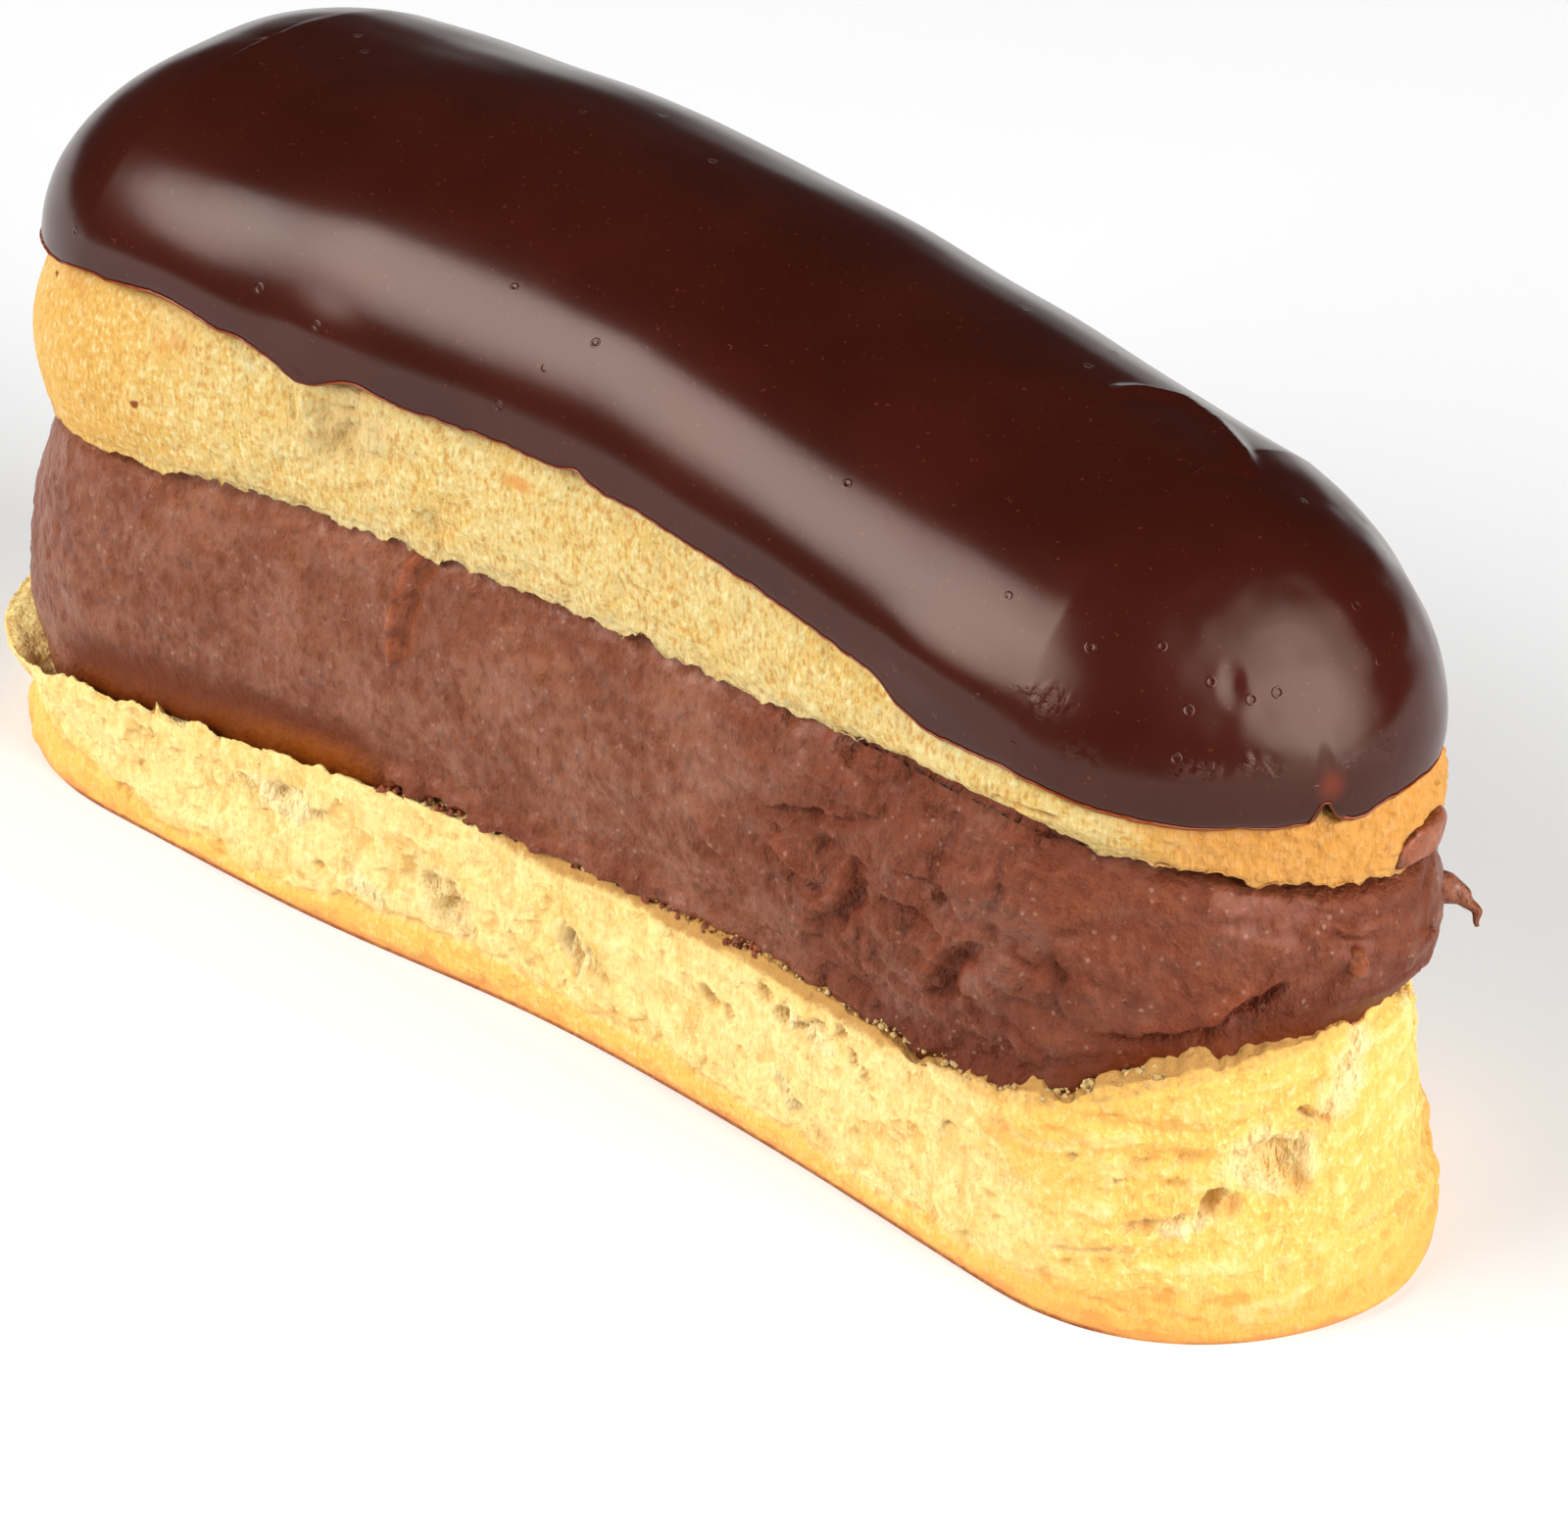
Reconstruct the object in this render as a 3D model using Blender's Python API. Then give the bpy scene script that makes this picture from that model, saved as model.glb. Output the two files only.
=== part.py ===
"""A filled chocolate eclair, built as its four stacked pieces: the lower half of the choux bun with its
trough, the chocolate cream that fills it, the upper half of the bun, and the set chocolate icing on top.

Run it with blender --background --python part.py, or from Blender's text editor.
Units are metres. +X runs along the eclair, from its low far end to its tall near end, -Y is its front,
and it stands on z = 0 with the middle of its footprint at the origin.
"""

import math

import bmesh
import bpy
from mathutils import Vector

# ---- Driving dimensions, in metres -------------------------------------------------------------------
# Each piece follows a spine along X and reaches out from it. Its sizes are given at sixteen stations
# round the piece: the far tip, the far front corner, five along the front, the near front corner, the
# near tip, the near back corner, five along the back and the far back corner.

BASE_ENDS = (-0.0465, 0.0470)  # where the spine of the lower half starts and stops
CAP_ENDS = (-0.0435, 0.0450)  # the upper half is a little shorter
SPINE_Y = -0.0010  # the spine runs just in front of the middle
LIFT_OFF = 0.0003  # gap kept between pieces that touch

AROUND = 64  # points round each ring
DOME_STEPS = 8  # rings from the icing's edge to the crown


def stations(far_tip, far_front, front, near_front, near_tip, near_back, back, far_back):
    """The sixteen sizes in the order in which the stations go round."""
    return (far_tip, far_front, *front, near_front, near_tip, near_back, *back, far_back)


# How far the lower half reaches out from its spine: a blunt far end, and a waist right of the middle.
BASE_REACH = stations(
    far_tip=0.0215, far_front=0.0218, front=(0.0224, 0.0217, 0.0196, 0.0197, 0.0213), near_front=0.0213,
    near_tip=0.0192, near_back=0.0174, back=(0.0214, 0.0213, 0.0219, 0.0221, 0.0221), far_back=0.0222,
)
# How far its sole spreads past the wall. It is tucked under, except at the near end, where a lip ran out.
SOLE_SPREAD = stations(
    far_tip=-0.0006, far_front=0.0012, front=(-0.0003, -0.0003, -0.0007, -0.0006, -0.0006), near_front=0.0008,
    near_tip=0.0028, near_back=0.0020, back=(0.0008, -0.0005, -0.0006, -0.0006, -0.0006), far_back=-0.0006,
)
# Height of its cut rim: low at the far end, a tall wall at the near tip that drops away behind it.
RIM_HEIGHT = stations(
    far_tip=0.0104, far_front=0.0098, front=(0.0120, 0.0145, 0.0161, 0.0168, 0.0176), near_front=0.0234,
    near_tip=0.0236, near_back=0.0168, back=(0.0178, 0.0180, 0.0170, 0.0158, 0.0138), far_back=0.0120,
)
# How far the rim flares out past the wall below it: a torn flap at the far front corner.
RIM_FLARE = stations(
    far_tip=0.0012, far_front=0.0038, front=(0.0004, 0.0, 0.0, 0.0, 0.0), near_front=0.0,
    near_tip=0.0, near_back=0.0, back=(0.0, 0.0, 0.0, 0.0, 0.0), far_back=0.0,
)
# How far inside the rim the cream stands. It hangs out over it at both ends.
CREAM_SETBACK = stations(
    far_tip=-0.0010, far_front=-0.0016, front=(-0.0002, 0.0008, 0.0002, 0.0006, 0.0002), near_front=0.0016,
    near_tip=-0.0012, near_back=-0.0004, back=(0.0012, 0.0008, 0.0006, 0.0006, 0.0006), far_back=0.0006,
)
# How far the upper half reaches out from its spine, at the icing's edge.
CAP_REACH = stations(
    far_tip=0.0180, far_front=0.0202, front=(0.0201, 0.0190, 0.0173, 0.0180, 0.0194), near_front=0.0191,
    near_tip=0.0212, near_back=0.0178, back=(0.0174, 0.0208, 0.0226, 0.0236, 0.0238), far_back=0.0213,
)
# How far its wall bulges below that edge: the bun swelled most at the far end.
CAP_BULGE = stations(
    far_tip=0.0034, far_front=0.0023, front=(0.0021, 0.0001, 0.0009, 0.0002, 0.0010), near_front=-0.0004,
    near_tip=0.0009, near_back=0.0012, back=(0.0005, 0.0006, 0.0008, 0.0008, 0.0010), far_back=0.0010,
)
# Height of the upper half's cut edge, which is also the top of the cream.
CAP_HEIGHT = stations(
    far_tip=0.0328, far_front=0.0326, front=(0.0341, 0.0363, 0.0375, 0.0383, 0.0400), near_front=0.0375,
    near_tip=0.0348, near_back=0.0348, back=(0.0360, 0.0366, 0.0362, 0.0352, 0.0338), far_back=0.0321,
)
# Height of the icing's lower edge: it ran furthest down at the near end.
ICING_HEIGHT = stations(
    far_tip=0.0450, far_front=0.0466, front=(0.0494, 0.0486, 0.0494, 0.0476, 0.0438), near_front=0.0412,
    near_tip=0.0416, near_back=0.0406, back=(0.0427, 0.0450, 0.0464, 0.0472, 0.0474), far_back=0.0463,
)
CROWN_HEIGHT = (0.0624, 0.0640, 0.0633, 0.0612, 0.0597)  # top of the icing along the spine, far end first

TROUGH_DEPTH = 0.0036  # how far the crumb of the lower half is pressed down under the cream
RIM_WIDTH = 0.0030  # the cut face of the crumb, from the rim inwards
ICING_PROUD = 0.0008  # how far the icing's outside stands out from the bun's wall
ICING_SIDE = 0.0016  # its thickness on the flanks
ICING_TOP = 0.0021  # and on the crown

# ---- The rings ---------------------------------------------------------------------------------------


def blend(a, b, share):
    return a + (b - a) * share


def at(sizes, turn):
    """The size at a turn from 0 to 1, on a smooth closed curve through the evenly spaced stations."""
    place = turn % 1.0 * len(sizes)
    first = int(place)
    t = place - first
    before, here, after, beyond = (sizes[(first + step) % len(sizes)] for step in (-1, 0, 1, 2))
    slope_here = (after - before) / 2
    slope_after = (beyond - here) / 2
    rise = 3 * t**2 - 2 * t**3
    return blend(here, after, rise) + (t**3 - 2 * t**2 + t) * slope_here + (t**3 - t**2) * slope_after


def spine_share(turn):
    """How far along the spine a turn stands, from 0 at its far end to 1 at its near end."""
    along = min(turn % 1.0, 1.0 - turn % 1.0)
    return min(1.0, max(0.0, (along - 0.125) * 4))


def outwards(turn):
    """The level direction that a turn faces: -X at 0, -Y along the front, +X at 0.5, +Y along the back."""
    turn = turn % 1.0
    if turn < 0.125:
        angle = math.pi + turn * 4 * math.pi
    elif turn <= 0.375:
        angle = -math.pi / 2
    elif turn < 0.625:
        angle = (turn - 0.5) * 4 * math.pi
    elif turn <= 0.875:
        angle = math.pi / 2
    else:
        angle = math.pi + (turn - 1) * 4 * math.pi
    return Vector((math.cos(angle), math.sin(angle), 0))


def over_spine(sizes, turn):
    """The size over the spine beside a turn: midway between the front's and the back's."""
    beside = 0.125 + 0.25 * spine_share(turn)
    return (at(sizes, beside) + at(sizes, 1 - beside)) / 2


def crown(turn):
    """Height of the icing's top over the spine beside a turn."""
    stretch = spine_share(turn) * (len(CROWN_HEIGHT) - 1)
    first = min(int(stretch), len(CROWN_HEIGHT) - 2)
    t = stretch - first
    return blend(CROWN_HEIGHT[first], CROWN_HEIGHT[first + 1], t * t * (3 - 2 * t))


def stand(turn, ends, reach, height):
    """The point that a ring passes through at a turn."""
    spine = Vector((blend(*ends, spine_share(turn)), SPINE_Y, height))
    return spine + outwards(turn) * reach


def level_rings(shares, ends, reaches, heights, inset, lift):
    """Rings of a nearly flat face between two layers, at shares of its width."""

    def ring(share):
        def place(turn):
            height = blend(over_spine(heights, turn), at(heights, turn), share * share)
            return stand(turn, ends, (at(reaches, turn) - inset) * share, height + lift)

        return place

    return [ring(share) for share in shares]


def trough_rings(lift):
    """The trough in the lower half, from its cut face to its middle. The cream's underside is the same
    rings, lifted off it."""

    def ring(share, depth):
        return level_rings([share], BASE_ENDS, BASE_REACH, RIM_HEIGHT, RIM_WIDTH + lift, lift - depth)[0]

    return [ring(1.0, 0.0006), ring(0.86, 0.5 * TROUGH_DEPTH), ring(0.62, 0.9 * TROUGH_DEPTH),
            ring(0.3, TROUGH_DEPTH), ring(0.0, TROUGH_DEPTH)]


def dome_rings(steps, inset, sunk):
    """Rings up the dome, from the icing's edge to the crown, inset from its outside and sunk below it."""

    def ring(step):
        def place(turn):
            lean = step / DOME_STEPS * math.pi / 2
            edge = at(ICING_HEIGHT, turn)
            reach = at(CAP_REACH, turn) + ICING_PROUD - inset
            height = edge + (crown(turn) - sunk - edge) * math.sin(lean)
            return stand(turn, CAP_ENDS, reach * max(0.0, math.cos(lean)), height)

        return place

    return [ring(step) for step in steps]


# ---- Building the pieces -----------------------------------------------------------------------------


def material(name, colour, roughness):
    made = bpy.data.materials.new(name)
    made.use_nodes = True
    shader = made.node_tree.nodes["Principled BSDF"]
    shader.inputs["Base Color"].default_value = (*colour, 1)
    shader.inputs["Roughness"].default_value = roughness
    shader.inputs["Metallic"].default_value = 0.0
    made.diffuse_color = (*colour, 1)
    return made


def wrapped(name, rings, collection, finish):
    """A closed solid: a grid of AROUND by the rings, wrapped round the spine and welded at its seams.
    The first and last rings lie on the spine, so the weld closes both ends of the wrap."""
    shape = bmesh.new()
    bmesh.ops.create_grid(shape, x_segments=AROUND, y_segments=len(rings) - 1, size=1)
    for corner in shape.verts:
        turn = (corner.co.x + 1) / 2
        level = round((corner.co.y + 1) / 2 * (len(rings) - 1))
        corner.co = rings[level](turn)
    bmesh.ops.remove_doubles(shape, verts=shape.verts, dist=1e-6)
    bmesh.ops.dissolve_degenerate(shape, edges=shape.edges, dist=1e-6)
    bmesh.ops.triangulate(shape, faces=shape.faces)
    bmesh.ops.recalc_face_normals(shape, faces=shape.faces)
    mesh = bpy.data.meshes.new(name)
    shape.to_mesh(mesh)
    shape.free()
    mesh.shade_smooth()
    mesh.materials.append(finish)
    piece = bpy.data.objects.new(name, mesh)
    collection.objects.link(piece)
    return piece


def lower_half(collection, finish):
    """The bottom of the bun: a flat sole, a wall, a rim with its torn flap, and the trough inside it."""

    def sole(share):
        def place(turn):
            reach = at(BASE_REACH, turn) + at(SOLE_SPREAD, turn)
            return stand(turn, BASE_ENDS, reach * share, 0)

        return place

    def wall(inset, share, spread=0.0, flared=0.0, drop=0.0):
        def place(turn):
            reach = at(BASE_REACH, turn) - inset + at(SOLE_SPREAD, turn) * spread
            reach += at(RIM_FLARE, turn) * flared
            return stand(turn, BASE_ENDS, reach, at(RIM_HEIGHT, turn) * share - drop)

        return place

    rings = [sole(0.0), sole(0.5), sole(1.0)]
    rings += [wall(-0.0003, 0.1, spread=0.9), wall(-0.0004, 0.32, spread=0.2), wall(0.0, 0.62, flared=0.2)]
    rings += [wall(0.0002, 1.0, drop=0.0012, flared=0.9), wall(0.0008, 1.0, drop=0.0002, flared=1.0)]
    rings += [wall(0.0018, 1.0, drop=0.0002, flared=0.5)]
    rings += trough_rings(lift=0.0)
    return wrapped("choux_base", rings, collection, finish)


def cream(collection, finish):
    """The filling: it sits in the trough, steps out over the rim and bulges between the two halves."""

    def side(share, bulge):
        def place(turn):
            ends = [blend(low, high, share) for low, high in zip(BASE_ENDS, CAP_ENDS)]
            reach = blend(at(BASE_REACH, turn), at(CAP_REACH, turn), share) + bulge
            reach -= at(CREAM_SETBACK, turn) * (1 - share * 0.7)
            low = at(RIM_HEIGHT, turn) + 0.0005
            high = at(CAP_HEIGHT, turn) - LIFT_OFF
            return stand(turn, ends, reach, blend(low, high, share))

        return place

    rings = trough_rings(lift=LIFT_OFF)[::-1]
    rings += [side(0.0, -0.0016), side(0.12, -0.0004), side(0.4, 0.0004), side(0.7, 0.0004)]
    rings += [side(0.93, -0.0002)]
    rings += level_rings((1.0, 0.6, 0.3, 0.0), CAP_ENDS, CAP_REACH, CAP_HEIGHT, 0.0012, -LIFT_OFF)
    return wrapped("chocolate_cream", rings, collection, finish)


def upper_half(collection, finish):
    """The top of the bun: a flat cut underside, a bulging wall, and the dome that the icing covers."""

    def wall(inset, share, bulge=0.0, lift=0.0):
        def place(turn):
            reach = at(CAP_REACH, turn) - inset + at(CAP_BULGE, turn) * bulge
            height = blend(at(CAP_HEIGHT, turn), at(ICING_HEIGHT, turn), share) + lift
            return stand(turn, CAP_ENDS, reach, height)

        return place

    rings = level_rings((0.0, 0.3, 0.6, 1.0), CAP_ENDS, CAP_REACH, CAP_HEIGHT, 0.0007, 0.0)
    rings += [wall(0.0, 0.0, bulge=0.6, lift=0.0008), wall(0.0, 0.5, bulge=1.0)]
    rings += [wall(0.0, 1.0, lift=-0.0003), wall(0.0010, 1.0, lift=0.0002)]
    rings += dome_rings(range(1, DOME_STEPS + 1), ICING_SIDE + LIFT_OFF, ICING_TOP + LIFT_OFF)
    return wrapped("choux_cap", rings, collection, finish)


def icing(collection, finish):
    """The icing: a shell over the dome, thicker on the crown, with a rounded lower edge."""

    def edge(inset, lift):
        def place(turn):
            reach = at(CAP_REACH, turn) + ICING_PROUD - inset
            return stand(turn, CAP_ENDS, reach, at(ICING_HEIGHT, turn) + lift)

        return place

    inside = dome_rings(range(DOME_STEPS, 0, -1), ICING_SIDE, ICING_TOP)
    outside = dome_rings(range(1, DOME_STEPS + 1), 0.0, 0.0)
    lip = [edge(ICING_SIDE - 0.0001, 0.0007), edge(0.0007, 0.0001), edge(0.0001, 0.0008)]
    return wrapped("chocolate_icing", inside + lip + outside, collection, finish)


def main():
    for old in list(bpy.data.objects):
        bpy.data.objects.remove(old, do_unlink=True)
    collection = bpy.data.collections.new("chocolate_eclair")
    bpy.context.scene.collection.children.link(collection)
    baked = material("baked_choux", (0.87, 0.61, 0.22), 0.75)
    filling = material("chocolate_cream", (0.25, 0.10, 0.055), 0.55)
    chocolate = material("chocolate_icing", (0.035, 0.008, 0.004), 0.22)
    lower_half(collection, baked)
    cream(collection, filling)
    upper_half(collection, baked)
    icing(collection, chocolate)


main()
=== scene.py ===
# %% [markdown]
# # Dressing a chocolate eclair
#
# A plain set of solids already holds this eclair's true size: two halves of a choux bun, the chocolate
# cream between them and the icing on top. They are right, but bald. In this lesson each of the four gets
# a fine skin of its own, with the tears, pores, folds and runs that real baking leaves, and a finish made
# of shader nodes. Nothing is painted on from outside: every mark is a small function of place.

import itertools
import math

import bmesh
import bpy
import numpy as np
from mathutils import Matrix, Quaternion, Vector
from mathutils.bvhtree import BVHTree


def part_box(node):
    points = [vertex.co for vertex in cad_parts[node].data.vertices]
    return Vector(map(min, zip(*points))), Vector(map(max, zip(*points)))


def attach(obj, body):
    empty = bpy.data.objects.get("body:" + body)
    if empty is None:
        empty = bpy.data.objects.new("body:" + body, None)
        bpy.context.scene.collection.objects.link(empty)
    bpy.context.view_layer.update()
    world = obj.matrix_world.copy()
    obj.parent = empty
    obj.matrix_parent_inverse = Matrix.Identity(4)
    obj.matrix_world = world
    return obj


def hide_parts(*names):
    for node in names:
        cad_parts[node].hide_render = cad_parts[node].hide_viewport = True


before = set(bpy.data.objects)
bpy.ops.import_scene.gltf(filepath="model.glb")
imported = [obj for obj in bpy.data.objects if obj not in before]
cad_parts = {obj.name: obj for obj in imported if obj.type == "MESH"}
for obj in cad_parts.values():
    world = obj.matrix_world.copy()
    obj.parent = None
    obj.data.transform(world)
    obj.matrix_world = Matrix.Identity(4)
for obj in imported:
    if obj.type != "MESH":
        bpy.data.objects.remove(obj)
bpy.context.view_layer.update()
MM = 0.001
print("solids:", sorted(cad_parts))

# %% [markdown]
# ## Walking round the eclair
#
# Seen from above, the eclair is a straight spine with a round end on each side. A *turn* says how far
# round it you have walked: 0 at the far tip, 0.25 halfway along the front, 0.5 at the near tip and 0.75
# halfway along the back. With a turn, a reach (how far out) and a height, any point of any layer can be
# named. A box-shaped grid would waste points on the inside, and a sculpted mesh would be hard to repeat.

# %% Turns, reaches and heights
low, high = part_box("choux_base")
SPINE = (low.x + 22.6 * MM, high.x - 22.0 * MM)
SPINE_Y = -1.0 * MM
WALL_REACH = 21.0 * MM  # a typical reach, used to count metres walked


def outwards(turn):
    """The level direction a turn faces, as rows of x and y."""
    turn = np.asarray(turn) % 1
    from_far_tip = np.where(turn < 0.5, turn, turn - 1)
    angle = np.select(
        [np.abs(from_far_tip) < 0.125, turn <= 0.375, turn < 0.625],
        [np.pi + from_far_tip * 4 * np.pi, -np.pi / 2 + 0 * turn, (turn - 0.5) * 4 * np.pi],
        np.pi / 2,
    )
    return np.stack([np.cos(angle), np.sin(angle)], axis=-1)


def stand(turn, reach, height):
    """Points at turns, reaches and heights."""
    turn, reach, height = np.broadcast_arrays(turn, reach, height)
    along = np.minimum(turn % 1, 1 - turn % 1)
    x = SPINE[0] + (SPINE[1] - SPINE[0]) * np.clip((along - 0.125) * 4, 0, 1)
    way = outwards(turn)
    return np.stack([x + way[..., 0] * reach, SPINE_Y + way[..., 1] * reach, height], axis=-1)


# %% Distances round the wall
def walked(turn):
    """Metres walked round the wall from the far tip, past the front first."""
    corner = math.pi / 2 * WALL_REACH
    side = SPINE[1] - SPINE[0]
    metres = np.cumsum([0, corner, side, 2 * corner, side, corner])
    return np.interp(np.asarray(turn) % 1, (0, 0.125, 0.375, 0.625, 0.875, 1), metres)


def hump(away, half_width):
    """A soft hump: 1 where `away` is 0, gone a few half widths to either side."""
    return np.exp(-((away / half_width) ** 2))


def beside(turn, middle, half_width):
    """A soft hump round the wall, 1 at the middle turn. The half width is in mm."""
    gap = (walked(turn) - walked(middle) + ROUND / 2) % ROUND - ROUND / 2
    return hump(gap / MM, half_width)


def steps(turn, table):
    """Straight lines through (turn, value) pairs, closed round the eclair."""
    return np.interp(turn, [pair[0] for pair in table], [pair[1] for pair in table], period=1)


ROUND = 2 * (SPINE[1] - SPINE[0]) + 2 * math.pi * WALL_REACH
print(f"once round the wall is {ROUND / MM:.0f} mm")

# %% [markdown]
# ## Measuring the solids
#
# The skins must sit exactly where the solids are, so the solids are measured instead of copied by hand.
# A ray shot inwards at every turn and height tells how far the wall reaches there. The flat facets of the
# solids would show in a glossy skin, so the table of reaches is eased with a Fourier low-pass: it rounds
# the facets off and, as the table closes on itself, leaves no seam.

# %% Solids that a ray can hit
LOOKS = 512  # turns that are measured
DENSE = 4096  # turns in an eased table


def tree_of(node):
    """A solid's faces, sorted so that a ray finds them fast."""
    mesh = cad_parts[node].data
    corners = [vertex.co.copy() for vertex in mesh.vertices]
    return BVHTree.FromPolygons(corners, [tuple(face.vertices) for face in mesh.polygons])


# %% Tables over turns
def eased(table, width):
    """A table over turns with its short waves taken out. The width is in metres walked."""
    waves = np.fft.rfft(table, axis=0)
    fade = np.exp(-0.5 * (np.arange(len(waves)) * 2 * np.pi / ROUND * width) ** 2)
    waves *= fade.reshape(-1, *[1] * (table.ndim - 1))
    return np.fft.irfft(waves, n=DENSE, axis=0) * DENSE / len(table)


def read(table, turn):
    """The value of an eased table at turns: a number, or a whole row of heights or leans."""
    place = np.asarray(turn) % 1 * DENSE
    first = place.astype(int)
    share = place - first
    if table.ndim > 1:
        share = share[:, None]
    return table[first % DENSE] * (1 - share) + table[(first + 1) % DENSE] * share


def in_rows(rows, place):
    """One value from each row, at a place that may fall between two columns."""
    place = np.clip(place, 0, rows.shape[1] - 1.001)
    first = place.astype(int)
    share = place - first
    number = np.arange(len(rows))
    return rows[number, first] * (1 - share) + rows[number, first + 1] * share


def filled(table):
    """Gaps in each turn's row take the nearest value that was found."""
    for row in table:
        known = np.flatnonzero(~np.isnan(row))
        row[:] = np.interp(np.arange(len(row)), known, row[known])
    return table


# %% The wall class
OUTSIDE = 45 * MM  # where the rays start
LEVEL_STEP = 0.4 * MM  # between two measured heights
CORE = 12 * MM  # rays stop this far from the spine


class Wall:
    """The outside of one solid: its reach at any turn and height, and where it starts and stops."""

    def __init__(self, node, width=2.6 * MM):
        tree = tree_of(node)
        bottom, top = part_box(node)
        self.levels = np.arange(bottom.z + 0.1 * MM, top.z, LEVEL_STEP)
        turns = np.arange(LOOKS) / LOOKS
        ways = outwards(turns)
        reach = np.full((LOOKS, len(self.levels)), np.nan)
        for i, (foot, way) in enumerate(zip(stand(turns, OUTSIDE, 0.0), ways)):
            inwards = Vector((-way[0], -way[1], 0))
            for j, level in enumerate(self.levels):
                hit = tree.ray_cast(Vector((foot[0], foot[1], level)), inwards, OUTSIDE - CORE)
                if hit[0] is not None:
                    reach[i, j] = OUTSIDE - hit[3]
        found = ~np.isnan(reach)
        self.starts = eased(self.levels[found.argmax(axis=1)] - LEVEL_STEP / 2, width)
        last = len(self.levels) - 1 - found[:, ::-1].argmax(axis=1)
        self.stops = eased(self.levels[last] + LEVEL_STEP / 2, width)
        self.table = eased(filled(reach), width)

    def reach(self, turn, height):
        return in_rows(read(self.table, turn), (height - self.levels[0]) / LEVEL_STEP)


# %% The four walls
base_wall = Wall("choux_base", width=1.6 * MM)
cream_wall = Wall("chocolate_cream")
cap_wall = Wall("choux_cap")
icing_wall = Wall("chocolate_icing")
rim_height, cut_height, icing_edge = base_wall.stops, cap_wall.starts, icing_wall.starts
for name, table in (("rim", rim_height), ("cut", cut_height), ("icing's edge", icing_edge)):
    print(f"{name}: {table.min() / MM:.1f} to {table.max() / MM:.1f} mm")

# %% The dome, measured with rays that fan up
FAN_FOOT = 38 * MM  # height on the spine that the fan opens from
FAN = np.radians(np.arange(0, 90.1, 1.5))
dome_tree = tree_of("chocolate_icing")
fan_turns = np.arange(LOOKS) / LOOKS
dome = np.full((LOOKS, len(FAN)), np.nan)
for i, (foot, way) in enumerate(zip(stand(fan_turns, 0.0, FAN_FOOT), outwards(fan_turns))):
    for j, lean in enumerate(FAN):
        up = Vector((way[0] * math.cos(lean), way[1] * math.cos(lean), math.sin(lean)))
        hit = dome_tree.ray_cast(Vector(foot) + up * OUTSIDE, -up, OUTSIDE - 5 * MM)
        if hit[0] is not None:
            dome[i, j] = OUTSIDE - hit[3]
dome = eased(filled(dome), 2.6 * MM)
smoother = np.exp(-0.5 * (np.arange(-4, 5) / 1.6) ** 2)
padded = np.concatenate([dome[:, :1]] * 4 + [dome] + [dome[:, -2:-6:-1]], axis=1)
dome = sum(w * padded[:, k:k + len(FAN)] for k, w in enumerate(smoother / smoother.sum()))
print(f"dome: {dome.min() / MM:.1f} to {dome.max() / MM:.1f} mm from the fan's foot")

# %% [markdown]
# ## Noise that is the same every time
#
# Crumb and cream are uneven at every scale. Random numbers would change from run to run, so each corner of
# an invisible lattice gets a fixed number worked out from its own place, and points in between blend
# their eight corners. Adding finer and weaker layers of it gives a natural surface. Torn crumb is not
# soft, though: it breaks into little tilted plates, so a second noise gives every cell its own tilt.

# %% Grain and plates
def fixed_number(cell, seed):
    """A number from -1 to 1 that belongs to a lattice cell."""
    mixed = cell[..., 0] * 73856093 ^ cell[..., 1] * 19349663 ^ cell[..., 2] * 83492791 ^ seed * 7919
    mixed = (mixed ^ mixed >> 13) * 1274126177 & 0x7FFFFFFF
    return (mixed >> 8 & 0xFFFF) / 32767.5 - 1


def grain(points, size, seed=0):
    """Smooth values from -1 to 1 that change over about `size` mm."""
    place = points / (size * MM)
    corner = np.floor(place).astype(np.int64)
    part = place - corner
    part = part * part * (3 - 2 * part)
    total = np.zeros(points.shape[:-1])
    for step in itertools.product((0, 1), repeat=3):
        weight = np.prod(np.where(step, part, 1 - part), axis=-1)
        total += fixed_number(corner + step, seed) * weight
    return total


def rough(points, size, layers=3, seed=0):
    """Grain with finer layers on top, each half as strong."""
    return sum(grain(points, size / 2**n, seed + n) / 2**n for n in range(layers))


# %% Plates
def plates(points, size, seed=0):
    """Little tilted plates about `size` mm wide: their height, and 0 at their edges to 1 inside."""
    place = points / (size * MM)
    corner = np.floor(place).astype(np.int64)
    nearest = np.full(points.shape[:-1], 9.0)
    second = nearest.copy()
    height = np.zeros(points.shape[:-1])
    for step in itertools.product((-1, 0, 1), repeat=3):
        cell = corner + step
        shift = np.stack([fixed_number(cell, seed + n) for n in range(3)], axis=-1)
        away = place - cell - 0.5 - 0.42 * shift
        gap = np.linalg.norm(away, axis=-1)
        closer = gap < nearest
        second = np.where(closer, nearest, np.minimum(second, gap))
        tilted = np.sum(away * shift[..., ::-1], axis=-1) * 1.1 + shift[..., 0] * 0.5
        height = np.where(closer, tilted, height)
        nearest = np.where(closer, gap, nearest)
    return height, np.clip((second - nearest) * 4, 0, 1)


# %% Soft steps
def ease(low_end, high_end, value):
    """0 below the low end, 1 above the high end and smooth in between."""
    share = np.clip((value - low_end) / (high_end - low_end), 0, 1)
    return share * share * (3 - 2 * share)


def fall(low_end, high_end, value):
    """1 below the low end and 0 above the high end."""
    return 1 - ease(low_end, high_end, value)


def between_turns(turn, start, stop, soft=0.015):
    """1 between two turns, 0 outside them."""
    return ease(start - soft, start + soft, turn) * fall(stop - soft, stop + soft, turn)


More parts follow.
